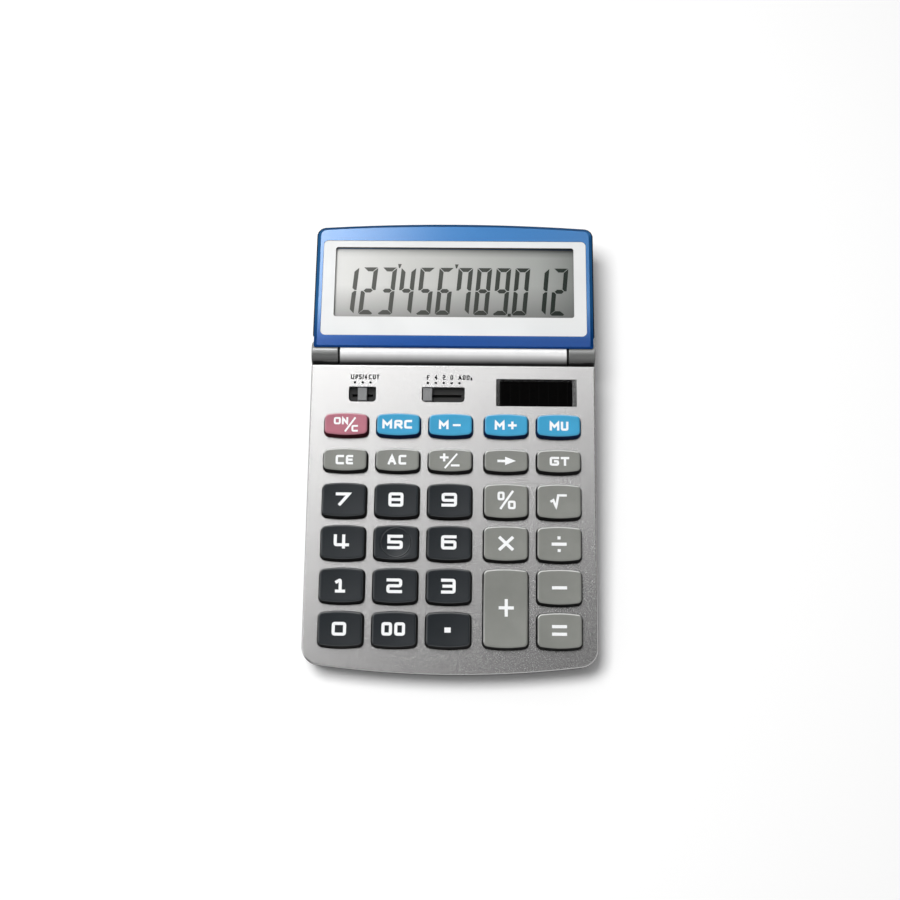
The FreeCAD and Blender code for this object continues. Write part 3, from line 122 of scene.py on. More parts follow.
# Liquid crystal display
LCD_SHADE_HALF_WIDTH = 46.0
LCD_FRONT_SHADE = 14.0
LCD_REAR_SHADE = 3.4
SEGMENT_SHADE_END_Y = 71.0
DIGIT_PITCH = 7.353
DIGIT_BASE_X = -40.45
LCD_MIDDLE_Y = 59.45
LCD_FRONT_Y = 47.8
LCD_REAR_Y = 77.0
DIGIT_HALF_WIDTH = 1.98
DIGIT_HALF_HEIGHT = 8.95
SEGMENT_WIDTH = 1.68
SEGMENT_GAP = 0.2
FOOT_EXTRA = 0.2
FOOT_CUT = 0.5
DIGIT_SLANT = math.tan(math.radians(4.8))
LCD_LIFT = 0.02
COMMA = [(-0.7, 0.8), (0.7, 0.8), (0.25, -0.9), (-0.25, -0.9)]
COMMA_RISE = 0.7
COMMAS_AFTER = (2, 5)
POINT = [(-0.6, -0.6), (0.6, -0.6), (0.6, 0.6), (-0.6, 0.6)]
POINT_DROP = 0.1
POINT_AFTER = 8

# Beyond these the cover's walls are its outer rim, which gets painted shade below its rounded edge
RIM_X = 49.5
RIM_Y = -82.0
RIM_STEP = 0.1

# Between these the display frame goes from painted shade at the front to painted light at the rear
FRAME_PAINTED_SHADE_Y = 38.0
FRAME_PAINTED_LIGHT_Y = 52.0

# Edges that face this way get a painted highlight, as if lit from the rear left
REAR_LEFT = (-0.41, 0.91, 0.0)

# Strips of the solar cell, and fields of tracks on the boards
SOLAR_STRIP = 3.6
SOLAR_LINE_SHARE = 0.05
TRACK_PITCH = 6.0

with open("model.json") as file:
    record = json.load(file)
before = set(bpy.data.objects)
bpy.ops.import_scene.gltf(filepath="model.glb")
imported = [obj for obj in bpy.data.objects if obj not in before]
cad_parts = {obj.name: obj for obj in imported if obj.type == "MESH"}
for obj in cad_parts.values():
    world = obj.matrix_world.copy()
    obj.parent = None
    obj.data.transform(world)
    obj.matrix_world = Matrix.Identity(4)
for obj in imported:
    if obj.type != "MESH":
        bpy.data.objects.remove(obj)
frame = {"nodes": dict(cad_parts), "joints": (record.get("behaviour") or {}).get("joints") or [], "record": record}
cad_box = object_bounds()

joints = {joint["name"]: joint for joint in frame["joints"]}
SLOPE = math.radians(DECK_SLOPE_DEG)
DECK_RIGHT = Vector((1, 0, 0))
DECK_UP = Vector((0, math.cos(SLOPE), math.sin(SLOPE)))
DECK_NORMAL = Vector((0, -math.sin(SLOPE), math.cos(SLOPE)))
DECK_ORIGIN = Vector((0, cad_box[0].y, DECK_FRONT_HEIGHT * MM))


# Camera, floor and lights

def make_camera():
    data = bpy.data.cameras.new("camera")
    data.sensor_width = SENSOR_WIDTH
    data.lens = CAMERA_LENS
    camera = bpy.data.objects.new("camera", data)
    bpy.context.scene.collection.objects.link(camera)
    up = CAMERA_BACK.cross(CAMERA_RIGHT).normalized()
    rotation = Matrix((CAMERA_RIGHT, up, CAMERA_BACK)).transposed().to_4x4()
    camera.matrix_world = Matrix.Translation(CAMERA_PLACE * MM) @ rotation
    bpy.context.scene.camera = camera


def make_key_light():
    """The one lamp, aimed at the origin. Gloss doesn't show it."""
    data = bpy.data.lights.new("key_light", "AREA")
    data.shape = "RECTANGLE"
    data.size, data.size_y = KEY_LIGHT_SIZE
    data.energy = KEY_LIGHT_POWER
    light = bpy.data.objects.new("key_light", data)
    bpy.context.scene.collection.objects.link(light)
    light.location = KEY_LIGHT_PLACE
    light.rotation_mode = "QUATERNION"
    light.rotation_quaternion = (-Vector(KEY_LIGHT_PLACE)).to_track_quat("-Z", "Y")
    light.visible_glossy = False


def make_world():
    """Studio surroundings, brighter at the rear left, with a soft bright patch that only gloss shows.

    Seen straight by the camera they are white.
    """
    world = bpy.data.worlds.new("studio")
    bpy.context.scene.world = world
    world.use_nodes = True
    nodes = Nodes(world.node_tree)
    nodes.clear()
    direction = nodes.add("ShaderNodeTexCoord").outputs["Generated"]

    def towards(vector):
        return nodes.dot(direction, vector)

    fill = nodes.between(towards(FILL_SIDE), FILL_DARK, FILL_BRIGHT)
    rear = towards(GLOSS_SIDE)
    patch_edge, patch_middle = math.cos(PATCH_OUTER), math.cos(PATCH_INNER)
    gloss = nodes.between(
        towards(PATCH_SIDE), GLOSS_FRONT, GLOSS_FRONT + PATCH_BRIGHT, patch_edge, patch_middle,
    )
    for start, end, change in GLOSS_STEPS:
        gloss = nodes.math("ADD", gloss, nodes.between(rear, 0.0, change, start, end))
    path = nodes.add("ShaderNodeLightPath")
    soft = nodes.add("ShaderNodeBackground", inputs={"Color": (1, 1, 1, 1), "Strength": fill})
    shine = nodes.add("ShaderNodeBackground", inputs={"Color": (1, 1, 1, 1), "Strength": gloss})
    white = nodes.add("ShaderNodeBackground", inputs={"Color": (1, 1, 1, 1), "Strength": 1.0})
    lit = nodes.add("ShaderNodeMixShader", inputs={
        0: path.outputs["Is Glossy Ray"], 1: soft.outputs[0], 2: shine.outputs[0],
    })
    seen = nodes.add("ShaderNodeMixShader", inputs={
        0: path.outputs["Is Camera Ray"], 1: lit.outputs[0], 2: white.outputs[0],
    })
    nodes.add("ShaderNodeOutputWorld", inputs={"Surface": seen.outputs[0]})


def make_floor():
    """A large pale floor. A little emission for the camera alone brings it to white outside the shadow."""
    half = FLOOR_HALF
    corners = [(-half, -half, 0), (half, -half, 0), (half, half, 0), (-half, half, 0)]
    mesh = bpy.data.meshes.new("floor")
    mesh.from_pydata(corners, [], [(0, 1, 2, 3)])
    floor = bpy.data.objects.new("floor", mesh)
    bpy.context.scene.collection.objects.link(floor)
    material = bpy.data.materials.new("floor")
    material.use_nodes = True
    nodes = Nodes(material.node_tree)
    nodes.clear()
    pale = (FLOOR_ALBEDO, FLOOR_ALBEDO, FLOOR_ALBEDO, 1)
    diffuse = nodes.add("ShaderNodeBsdfDiffuse", inputs={"Color": pale})
    path = nodes.add("ShaderNodeLightPath")
    lift = nodes.math("MULTIPLY", path.outputs["Is Camera Ray"], FLOOR_LIFT)
    glow = nodes.add("ShaderNodeEmission", inputs={"Color": (1, 1, 1, 1), "Strength": lift})
    total = nodes.add("ShaderNodeAddShader", inputs={0: diffuse.outputs[0], 1: glow.outputs[0]})
    nodes.add("ShaderNodeOutputMaterial", inputs={"Surface": total.outputs[0]})
    mesh.materials.append(material)


# Node helper and materials

class Nodes:
    """Adds nodes to a tree. A value for an input may be a socket, which is linked, or a plain value."""

    def __init__(self, tree):
        self.tree = tree

    def clear(self):
        self.tree.nodes.clear()

    def add(self, kind, inputs=None, **settings):
        node = self.tree.nodes.new(kind)
        for name, value in settings.items():
            setattr(node, name, value)
        for key, value in (inputs or {}).items():
            if isinstance(value, bpy.types.NodeSocket):
                self.tree.links.new(value, node.inputs[key])
            else:
                node.inputs[key].default_value = value
        return node

    def object_place(self):
        return self.add("ShaderNodeTexCoord").outputs["Object"]

    def noise(self, size_mm, detail=2.0, place=None):
        """Noise whose features are about size_mm across."""
        return self.add("ShaderNodeTexNoise", inputs={
            "Vector": place or self.object_place(), "Scale": 1.0 / (size_mm * MM), "Detail": detail,
        }).outputs["Fac"]

    def ramp(self, value, low, high, from_low=0.0, from_high=1.0):
        """A colour between low and high, where value goes from from_low to from_high."""
        ramp = self.add("ShaderNodeValToRGB", inputs={"Fac": value})
        ramp.color_ramp.elements[0].position = from_low
        ramp.color_ramp.elements[0].color = (*low, 1)
        ramp.color_ramp.elements[1].position = from_high
        ramp.color_ramp.elements[1].color = (*high, 1)
        return ramp.outputs["Color"]

    def between(self, value, low, high, from_low=0.0, from_high=1.0):
        """A number between low and high, where value goes from from_low to from_high."""
        return self.add("ShaderNodeMapRange", inputs={
            "Value": value, "From Min": from_low, "From Max": from_high, "To Min": low, "To Max": high,
        }).outputs["Result"]

    def mix(self, factor, low, high):
        """A colour between low and high, each a socket or a plain colour."""
        node = self.add("ShaderNodeMix", data_type="RGBA")
        for index, value in ((0, factor), (6, low), (7, high)):
            if isinstance(value, bpy.types.NodeSocket):
                self.tree.links.new(value, node.inputs[index])
            elif index == 0:
                node.inputs[index].default_value = value
            else:
                node.inputs[index].default_value = (*value, 1)
        return node.outputs[2]

    def facing(self, way, low, high):
        """0 where the cosine between a face and the way is below low, 1 where it is above high."""
        normal = self.add("ShaderNodeTexCoord").outputs["Normal"]
        return self.between(self.dot(normal, way), 0.0, 1.0, low, high)

    def upward(self, low, high):
        return self.facing((0, 0, 1), low, high)

    def dot(self, first, second):
        inputs = {0: first, 1: second}
        return self.add("ShaderNodeVectorMath", operation="DOT_PRODUCT", inputs=inputs).outputs["Value"]

    def along(self, axis, low_mm, high_mm):
        """0 at low_mm to 1 at high_mm along an axis of the model."""
        split = self.add("ShaderNodeSeparateXYZ", inputs={0: self.object_place()})
        return self.between(split.outputs[axis], 0.0, 1.0, low_mm * MM, high_mm * MM)

    def math(self, operation, first, second=0.0):
        return self.add("ShaderNodeMath", operation=operation, inputs={0: first, 1: second}).outputs[0]

    def rest(self, share):
        """What a share leaves of 1."""
        return self.math("SUBTRACT", 1.0, share)

    def bump(self, height, strength, distance_mm):
        inputs = {"Height": height, "Strength": strength, "Distance": distance_mm * MM}
        return self.add("ShaderNodeBump", inputs=inputs).outputs["Normal"]


def new_material(name):
    material = bpy.data.materials.new(name)
    material.use_nodes = True
    nodes = Nodes(material.node_tree)
    nodes.clear()
    shader = nodes.add("ShaderNodeBsdfPrincipled")
    nodes.add("ShaderNodeOutputMaterial", inputs={"Surface": shader.outputs[0]})
    return material, nodes, shader


def finish_shader(nodes, shader, **values):
    """Sets the shader's sockets by name, with underscores for spaces."""
    for key, value in values.items():
        socket = shader.inputs[key.replace("_", " ")]
        if isinstance(value, bpy.types.NodeSocket):
            nodes.tree.links.new(value, socket)
        elif isinstance(value, tuple) and len(value) == 3:
            socket.default_value = (*value, 1)
        else:
            socket.default_value = value


def scaled(colour, factor):
    return tuple(min(1.0, channel * factor) for channel in colour)


def silver_paint():
    """Silver lacquer with fine flakes and faint clouds, and painted shade on the outer walls below the rounded
    edge.
    """
    material, nodes, shader = new_material("silver_paint")
    flakes = nodes.noise(0.22, 1.0)
    clouds = nodes.noise(14.0, 3.0)
    base = nodes.ramp(flakes, (0.58, 0.575, 0.575), (0.66, 0.655, 0.65), 0.35, 0.65)
    colour = nodes.mix(nodes.between(clouds, 0.0, 0.25, 0.35, 0.7), base, (0.6, 0.59, 0.59))
    # Painted shade: the steep outer walls of the rim are made near black
    right = nodes.along("X", RIM_X, RIM_X + RIM_STEP)
    left = nodes.along("X", -RIM_X, -RIM_X - RIM_STEP)
    front = nodes.along("Y", RIM_Y, RIM_Y - RIM_STEP)
    painted_shade_rim = nodes.math("MAXIMUM", nodes.math("MAXIMUM", right, left), front)
    steep = nodes.rest(nodes.upward(0.5, 0.68))
    colour = nodes.mix(nodes.math("MULTIPLY", painted_shade_rim, steep), colour, (0.01, 0.01, 0.012))
    finish_shader(
        nodes, shader, Base_Color=colour, Metallic=0.9,
        Roughness=nodes.between(flakes, 0.21, 0.28, 0.3, 0.7),
        Normal=nodes.bump(nodes.noise(0.3, 2.0), 0.03, 0.02),
    )
    return material


def moulded(name, colour, roughness=0.5, grain_mm=0.35, grain=0.2, gloss=0.3):
    """Moulded plastic with a fine eroded texture and a faint change of tone over its surface."""
    material, nodes, shader = new_material(name)
    tone = nodes.noise(9.0, 3.0)
    fine = nodes.noise(grain_mm, 2.0)
    base = nodes.ramp(tone, scaled(colour, 0.93), scaled(colour, 1.07), 0.35, 0.65)
    speckled = nodes.mix(nodes.between(fine, 0.0, 0.35, 0.55, 0.75), base, scaled(colour, 1.25))
    finish_shader(
        nodes, shader, Base_Color=speckled,
        Roughness=nodes.between(fine, roughness - 0.05, roughness + 0.07, 0.3, 0.7),
        Normal=nodes.bump(fine, grain, 0.03), Specular_IOR_Level=gloss,
    )
    return material


def key_plastic(name, colour, edge, skirt):
    """Moulded key: a fine grained top, a polished edge, a painted highlight on the edges facing the rear left, and
    a dull skirt in painted shade.
    """
    material, nodes, shader = new_material(name)
    tone = nodes.noise(9.0, 3.0)
    fine = nodes.noise(0.3, 2.0)
    base = nodes.ramp(tone, scaled(colour, 0.95), scaled(colour, 1.05), 0.35, 0.65)
    speckled = nodes.mix(nodes.between(fine, 0.0, 0.3, 0.55, 0.75), base, scaled(colour, 1.2))
    # Painted highlight: edges facing the rear left get the colour lifted by edge
    pale = tuple(channel + edge for channel in colour)
    painted_highlight = nodes.mix(nodes.facing(REAR_LEFT, 0.15, 0.35), speckled, pale)
    # Painted shade: the walls below the top take the dark skirt colour
    top_share = nodes.upward(0.45, 0.75)
    edge_share = nodes.math("SUBTRACT", top_share, nodes.upward(0.955, 0.985))
    finish_shader(
        nodes, shader, Base_Color=nodes.mix(top_share, skirt, painted_highlight),
        Roughness=nodes.math("MAXIMUM", nodes.between(fine, 0.3, 0.4, 0.3, 0.7), nodes.rest(top_share)),
        Normal=nodes.bump(fine, 0.1, 0.03), Specular_IOR_Level=0.3,
        Coat_Weight=edge_share, Coat_Roughness=0.15,
    )
    return material


def rubber(name, colour, roughness=0.75):
    material, nodes, shader = new_material(name)
    dust = nodes.noise(2.5, 4.0)
    fine = nodes.noise(0.5, 3.0)
    base = nodes.ramp(dust, colour, scaled(colour, 1.5), 0.45, 0.8)
    finish_shader(
        nodes, shader, Base_Color=base, Roughness=nodes.between(dust, roughness, roughness + 0.12),
        Normal=nodes.bump(fine, 0.3, 0.05),
    )
    return material


def metal(name, colour, roughness, brushed_mm=None):
    """Plated or turned metal, with fine lines along X where brushed_mm gives their spacing."""
    material, nodes, shader = new_material(name)
    place = nodes.object_place()
    if brushed_mm:
        stretch = {"Vector": place, "Scale": (0.05, 1.0, 1.0)}
        place = nodes.add("ShaderNodeMapping", inputs=stretch).outputs[0]
    lines = nodes.noise(brushed_mm or 1.5, 3.0, place)
    smudge = nodes.noise(3.0, 2.0)
    base = nodes.ramp(smudge, scaled(colour, 0.88), colour, 0.3, 0.7)
    finish_shader(
        nodes, shader, Base_Color=base, Metallic=1.0,
        Roughness=nodes.between(lines, roughness * 0.7, roughness * 1.3, 0.3, 0.7),
        Normal=nodes.bump(lines, 0.15, 0.01),
    )
    return material


def blue_lacquer():
    """Blue metallic lacquer under a clear coat: fine flakes, thin coat on the bevels, and painted light and shade:
    paler to the rear, other blues on the side walls.
    """
    material, nodes, shader = new_material("blue_lacquer")
    flakes = nodes.noise(0.18, 1.0)
    # Painted light and shade: deep blue at the front, pale blue to the rear
    rear = nodes.along("Y", FRAME_PAINTED_SHADE_Y, FRAME_PAINTED_LIGHT_Y)
    deep = nodes.ramp(flakes, (0.001, 0.042, 0.195), (0.001, 0.052, 0.24), 0.35, 0.65)
    pale = nodes.ramp(flakes, (0.016, 0.13, 0.335), (0.022, 0.15, 0.4), 0.35, 0.65)
    face = nodes.mix(rear, deep, pale)
    # Painted light on the walls facing right, painted shade on those facing left and on those facing the rear
    lit = nodes.mix(nodes.facing((1, 0, 0), 0.3, 0.8), face, (0.006, 0.055, 0.19))
    shaded = nodes.mix(nodes.facing((-1, 0, 0), 0.3, 0.8), lit, (0.006, 0.04, 0.09))
    colour = nodes.mix(nodes.facing((0, 1, 0), 0.25, 0.6), shaded, (0.002, 0.02, 0.07))
    coat = nodes.between(nodes.upward(0.93, 0.985), 0.12, nodes.between(rear, 0.3, 0.95))
    finish_shader(
        nodes, shader, Base_Color=colour, Metallic=0.5,
        Roughness=nodes.between(flakes, 0.34, 0.42, 0.3, 0.7),
        Normal=nodes.bump(flakes, 0.03, 0.02), Specular_IOR_Level=0.05,
        Coat_Weight=coat, Coat_Roughness=0.12, Coat_IOR=1.6,
    )
    return material


def white_panel():
    """White plastic, with painted shade down the walls of its window."""
    material, nodes, shader = new_material("white_panel")
    tone = nodes.noise(25.0, 2.0)
    fine = nodes.noise(0.4, 2.0)
    base = nodes.ramp(tone, (0.73, 0.74, 0.74), (0.78, 0.79, 0.79), 0.35, 0.65)
    # Painted shade: the steep walls of the window are made near black
    finish_shader(
        nodes, shader, Base_Color=nodes.mix(nodes.upward(0.2, 0.5), (0.03, 0.03, 0.03), base),
        Roughness=nodes.between(fine, 0.3, 0.42, 0.3, 0.7),
        Normal=nodes.bump(fine, 0.05, 0.02), Coat_Weight=0.2, Coat_Roughness=0.3,
    )
    return material


def lcd_ground():
    """Grey reflector behind glass, with painted light and shade: paler to one side and darker to the front.

    A painted shadow along its rear edge stands for the frame of the window keeping light off.
    """
    material, nodes, shader = new_material("lcd_ground")
    # Painted light across X, painted shade to the front and along the rear edge
    across = nodes.along("X", -LCD_SHADE_HALF_WIDTH, LCD_SHADE_HALF_WIDTH)
    drift = nodes.add("ShaderNodeValToRGB", inputs={"Fac": across})
    stops = drift.color_ramp.elements
    stops[0].color = (0.71, 0.71, 0.69, 1)
    stops[1].color = (0.16, 0.17, 0.16, 1)
    stops.new(0.3).color = (0.56, 0.56, 0.54, 1)
    stops.new(0.85).color = (0.31, 0.32, 0.305, 1)
    front = nodes.between(nodes.along("Y", LCD_FRONT_Y, LCD_FRONT_Y + LCD_FRONT_SHADE), 0.4, 1.0)
    rear = nodes.along("Y", LCD_REAR_Y - LCD_REAR_SHADE, LCD_REAR_Y)
    shade = nodes.math("MULTIPLY", rear, nodes.between(across, 0.15, 0.75))
    light = nodes.math("MULTIPLY", front, nodes.rest(shade))
    grain = nodes.noise(0.25, 2.0)
    base = nodes.mix(nodes.between(grain, 0.0, 0.12, 0.4, 0.7), drift.outputs["Color"], (0.36, 0.38, 0.35))
    finish_shader(
        nodes, shader, Base_Color=nodes.mix(light, (0.004, 0.004, 0.005), base), Roughness=0.4,
        Coat_Weight=0.25, Coat_Roughness=0.12, Normal=nodes.bump(grain, 0.04, 0.01),
    )
    return material


def lcd_segment():
    """Dark liquid crystal, with painted light that makes it paler to one side and painted shade to the front."""
    material, nodes, shader = new_material("lcd_segment")
    across = nodes.along("X", -LCD_SHADE_HALF_WIDTH, LCD_SHADE_HALF_WIDTH)
    drift = nodes.ramp(across, (0.15, 0.15, 0.14), (0.018, 0.024, 0.02), 0.0, 0.9)
    # Painted shade: darker towards the front edge
    front = nodes.between(nodes.along("Y", LCD_FRONT_Y, SEGMENT_SHADE_END_Y), 0.7, 1.0)
    grain = nodes.noise(0.3, 2.0)
    base = nodes.mix(nodes.between(grain, 0.0, 0.2, 0.4, 0.7), drift, (0.09, 0.1, 0.09))
    colour = nodes.mix(front, (0.0, 0.0, 0.0), base)
    finish_shader(nodes, shader, Base_Color=colour, Roughness=0.5, Specular_IOR_Level=0.1)
    return material


def solar_cell():
    """Dark brown silicon in strips, with thin scribed lines between them, under smooth glass."""
    material, nodes, shader = new_material("solar_cell")
    split = nodes.add("ShaderNodeSeparateXYZ", inputs={0: nodes.object_place()})
    strips = nodes.math("MULTIPLY", split.outputs["X"], 1 / (SOLAR_STRIP * MM))
    line = nodes.math("LESS_THAN", nodes.math("FRACT", strips), SOLAR_LINE_SHARE)
    stain = nodes.noise(2.0, 3.0)
    silicon = nodes.ramp(stain, (0.0005, 0.0005, 0.0005), (0.0012, 0.001, 0.001), 0.3, 0.7)
    base = nodes.mix(line, silicon, (0.004, 0.004, 0.004))
    finish_shader(nodes, shader, Base_Color=base, Roughness=0.2, Specular_IOR_Level=0.02)
    return material


def circuit_board():
    """Green solder mask over thin tracks, with the weave of the laminate below."""
    material, nodes, shader = new_material("circuit_board")
    tracks = nodes.add("ShaderNodeTexBrick", inputs={
        "Vector": nodes.object_place(), "Scale": 1.0 / (TRACK_PITCH * MM), "Mortar Size": 0.03,
        "Color1": (0.02, 0.12, 0.05, 1), "Color2": (0.025, 0.14, 0.06, 1), "Mortar": (0.05, 0.24, 0.1, 1),
    })
    weave = nodes.between(nodes.noise(0.6, 2.0), 0.0, 0.3)
    finish_shader(
        nodes, shader, Base_Color=nodes.mix(weave, tracks.outputs["Color"], (0.02, 0.1, 0.05)),
        Roughness=0.35, Normal=nodes.bump(tracks.outputs["Fac"], 0.4, 0.03), Coat_Weight=0.3,
    )
    return material


def ink(name, colour):
    """Pad-printed ink, slightly uneven in thickness."""
    material, nodes, shader = new_material(name)
    film = nodes.noise(0.5, 3.0)
    base = nodes.ramp(film, scaled(colour, 0.94), colour, 0.3, 0.7)
    finish_shader(
        nodes, shader, Base_Color=base, Roughness=nodes.between(film, 0.4, 0.55),
        Normal=nodes.bump(film, 0.08, 0.02), Specular_IOR_Level=0.15,
    )
    return material


def turned(name, colour, dim, low, high, roughness, metallic, coat):
    """Smooth plastic round the hinge axis, with painted shade where it turns to the front, and on its flat ends
    for the dark gaps between barrel and caps.
    """
    material, nodes, shader = new_material(name)
    haze = nodes.noise(6.0, 3.0)
    fine = nodes.noise(0.25, 2.0)
    base = nodes.ramp(haze, scaled(colour, 0.95), colour, 0.35, 0.65)
    # Painted shade: the flat ends are made near black, and the side turned to the front is dimmed
    right, left = nodes.facing((1, 0, 0), 0.3, 0.6), nodes.facing((-1, 0, 0), 0.3, 0.6)
    ends = nodes.math("MAXIMUM", right, left)
    shade = nodes.mix(nodes.facing((0, -1, 0), low, high), base, scaled(colour, dim))
    finish_shader(
        nodes, shader, Base_Color=nodes.mix(ends, shade, (0.004, 0.004, 0.004)), Metallic=metallic,
        Roughness=nodes.between(fine, roughness - 0.03, roughness + 0.03, 0.3, 0.7),
        Normal=nodes.bump(fine, 0.02, 0.01), Coat_Weight=coat, Coat_Roughness=0.22,
        Specular_IOR_Level=0.2, Coat_IOR=1.8,
    )
    return material


def barrel_silver():
    return turned(
        "barrel_silver", (0.95, 0.95, 0.95), dim=0.03, low=0.26, high=0.86,
        roughness=0.45, metallic=0.3, coat=0.1,
    )


def grey_plastic():
    return turned(
        "grey_plastic", (0.27, 0.275, 0.27), dim=0.05, low=-0.1, high=0.7,
        roughness=0.4, metallic=0.0, coat=1.0,
    )


SLOT_MATERIALS = {
    "silver_plastic": silver_paint,
    "barrel_silver": barrel_silver,
    "dark_plastic": lambda: moulded("dark_plastic", (0.02, 0.022, 0.026), 0.6, 0.5, 0.35, gloss=0.1),
    "keypad_rubber": lambda: rubber("keypad_rubber", (0.2, 0.2, 0.2), 0.6),
    "carbon": lambda: rubber("carbon", (0.015, 0.015, 0.016)),
    "circuit_board": circuit_board,
    "epoxy": lambda: moulded("epoxy", (0.012, 0.012, 0.012), 0.25, 1.0, 0.1),
    "screw_steel": lambda: metal("screw_steel", (0.3, 0.3, 0.31), 0.35),
    "switch_grey": lambda: moulded("switch_grey", (0.2, 0.203, 0.207), 0.3, 0.25, 0.2, gloss=0.8),
    "switch_dark": lambda: moulded("switch_dark", (0.02, 0.02, 0.02), 0.5, 0.3, 0.2),
    "solar_glass": solar_cell,
    "foot_rubber": lambda: rubber("foot_rubber", (0.03, 0.03, 0.03)),
    "cell_steel": lambda: metal("cell_steel", (0.75, 0.75, 0.74), 0.15),
    "spring_steel": lambda: metal("spring_steel", (0.72, 0.7, 0.65), 0.25, 0.15),
    "grey_plastic": grey_plastic,
    "pin_steel": lambda: metal("pin_steel", (0.6, 0.6, 0.6), 0.25, 0.15),
    "washer_nylon": lambda: moulded("washer_nylon", (0.02, 0.02, 0.02), 0.5, gloss=0.1),
    "blue_plastic": blue_lacquer,
    "white_panel": white_panel,
    "lcd_glass": lcd_ground,
    "connector_rubber": lambda: rubber("connector_rubber", (0.6, 0.35, 0.4)),
    "holder_plastic": lambda: moulded("holder_plastic", (0.7, 0.7, 0.68), 0.5),
    "wire_jacket": lambda: moulded("wire_jacket", (0.25, 0.03, 0.03), 0.45),
    # Keys: colour, lift of the painted highlight on the rear left edges, and the painted shade of the skirt
    "key_pink": lambda: key_plastic("key_pink", (0.43, 0.155, 0.2), 0.35, (0.06, 0.005, 0.01)),
    "key_blue": lambda: key_plastic("key_blue", (0.05, 0.335, 0.57), 0.3, (0.002, 0.02, 0.09)),
    "key_grey": lambda: key_plastic("key_grey", (0.235, 0.24, 0.222), 0.55, (0.006, 0.006, 0.006)),
    "key_charcoal": lambda: key_plastic("key_charcoal", (0.013, 0.016, 0.019), 0.12, (0.001, 0.001, 0.001)),
}


# Nodes that get another material than their slot's
OWN_MATERIALS = {"hinge_barrel": "barrel_silver"}

# Nodes with large flat faces that are shaded evenly
FLAT_NODES = ("top_cover", "display_frame")


def dress_nodes():
    """Gives every CAD node its material, and the flat nodes their even shading."""
    made = {}
    for part in frame["record"]["subparts"]:
        slot = OWN_MATERIALS.get(part["node"], part["material_slot"])
        if slot not in made:
            made[slot] = SLOT_MATERIALS[slot]()
        data = frame["nodes"][part["node"]].data
        data.materials.clear()
        data.materials.append(made[slot])
    for name in FLAT_NODES:
        even = frame["nodes"][name].modifiers.new("even_shading", "WEIGHTED_NORMAL")
        even.mode = "FACE_AREA"
        even.weight = 100


# Printed strokes

GLYPHS = {
    "0": [[(0, 0), (1, 0), (1, 1), (0, 1), "closed"]],
    "1": [[(0.0, 0.8), (0.5, 1.0), (0.5, 0.0)], [(0, 0), (1, 0)]],
    "2": [[(0, 1), (1, 1), (1, 0.5), (0, 0.5), (0, 0), (1, 0)]],
    "3": [[(0, 1), (1, 1), (1, 0), (0, 0)], [(0.12, 0.5), (1, 0.5)]],
    "4": [[(0, 1), (0, 0.2), (1, 0.2)], [(0.68, 1), (0.68, 0)]],
    "5": [[(1, 1), (0, 1)], [(0, 1), (0, 0.5)], [(0, 0.5), (1, 0.5), (1, 0), (0, 0)]],
    "6": [[(1, 1), (0, 1), (0, 0), (1, 0), (1, 0.55), (0, 0.55)]],
    "7": [[(0, 1), (1, 1), (0.25, 0)]],
    "8": [[(0, 0), (1, 0), (1, 1), (0, 1), "closed"], [(0, 0.5), (1, 0.5)]],
    "9": [[(0, 0), (1, 0), (1, 1), (0, 1), (0, 0.45), (1, 0.45)]],
    "A": [[(0, 0), (0.5, 1), (1, 0)], [(0.2, 0.3), (0.8, 0.3)]],
    "C": [[(1, 1), (0, 1), (0, 0), (1, 0)]],
    "D": [[(0, 0), (0, 1), (1, 1), (1, 0), "closed"]],
    "E": [[(1, 1), (0, 1), (0, 0), (1, 0)], [(0, 0.5), (0.9, 0.5)]],
    "F": [[(1, 1), (0, 1), (0, 0)], [(0, 0.5), (0.8, 0.5)]],
    "G": [[(1, 1), (0, 1), (0, 0), (1, 0), (1, 0.5), (0.6, 0.5)]],
    "M": [[(0, 0), (0, 1), (0.5, 0.4), (1, 1), (1, 0)]],
    "N": [[(0, 0), (0, 1), (1, 0), (1, 1)]],
    "O": [[(0, 0), (1, 0), (1, 1), (0, 1), "closed"]],
    "P": [[(0, 0), (0, 1), (1, 1), (1, 0.45), (0, 0.45)]],
    "R": [[(0, 0), (0, 1), (1, 1), (1, 0.45), (0, 0.45)], [(0.45, 0.45), (1, 0)]],
    "T": [[(0, 1), (1, 1)], [(0.5, 1), (0.5, 0)]],
    "U": [[(0, 1), (0, 0), (1, 0), (1, 1)]],
    "plus": [[(0, 0.5), (1, 0.5)], [(0.5, 0), (0.5, 1)]],
    "bar": [[(0, 0.5), (1, 0.5)]],
    "times": [[(0, 0), (1, 1)], [(0, 1), (1, 0)]],
    "slash": [[(0, 0), (1, 1)]],
    "small_4": [[(0.7, 0), (0.7, 1), (0, 0.3), (1, 0.3)]],
    "root": [[(0.0, 0.5), (0.13, 0.6), (0.33, 0.0), (0.48, 1.0), (1, 1)]],
}

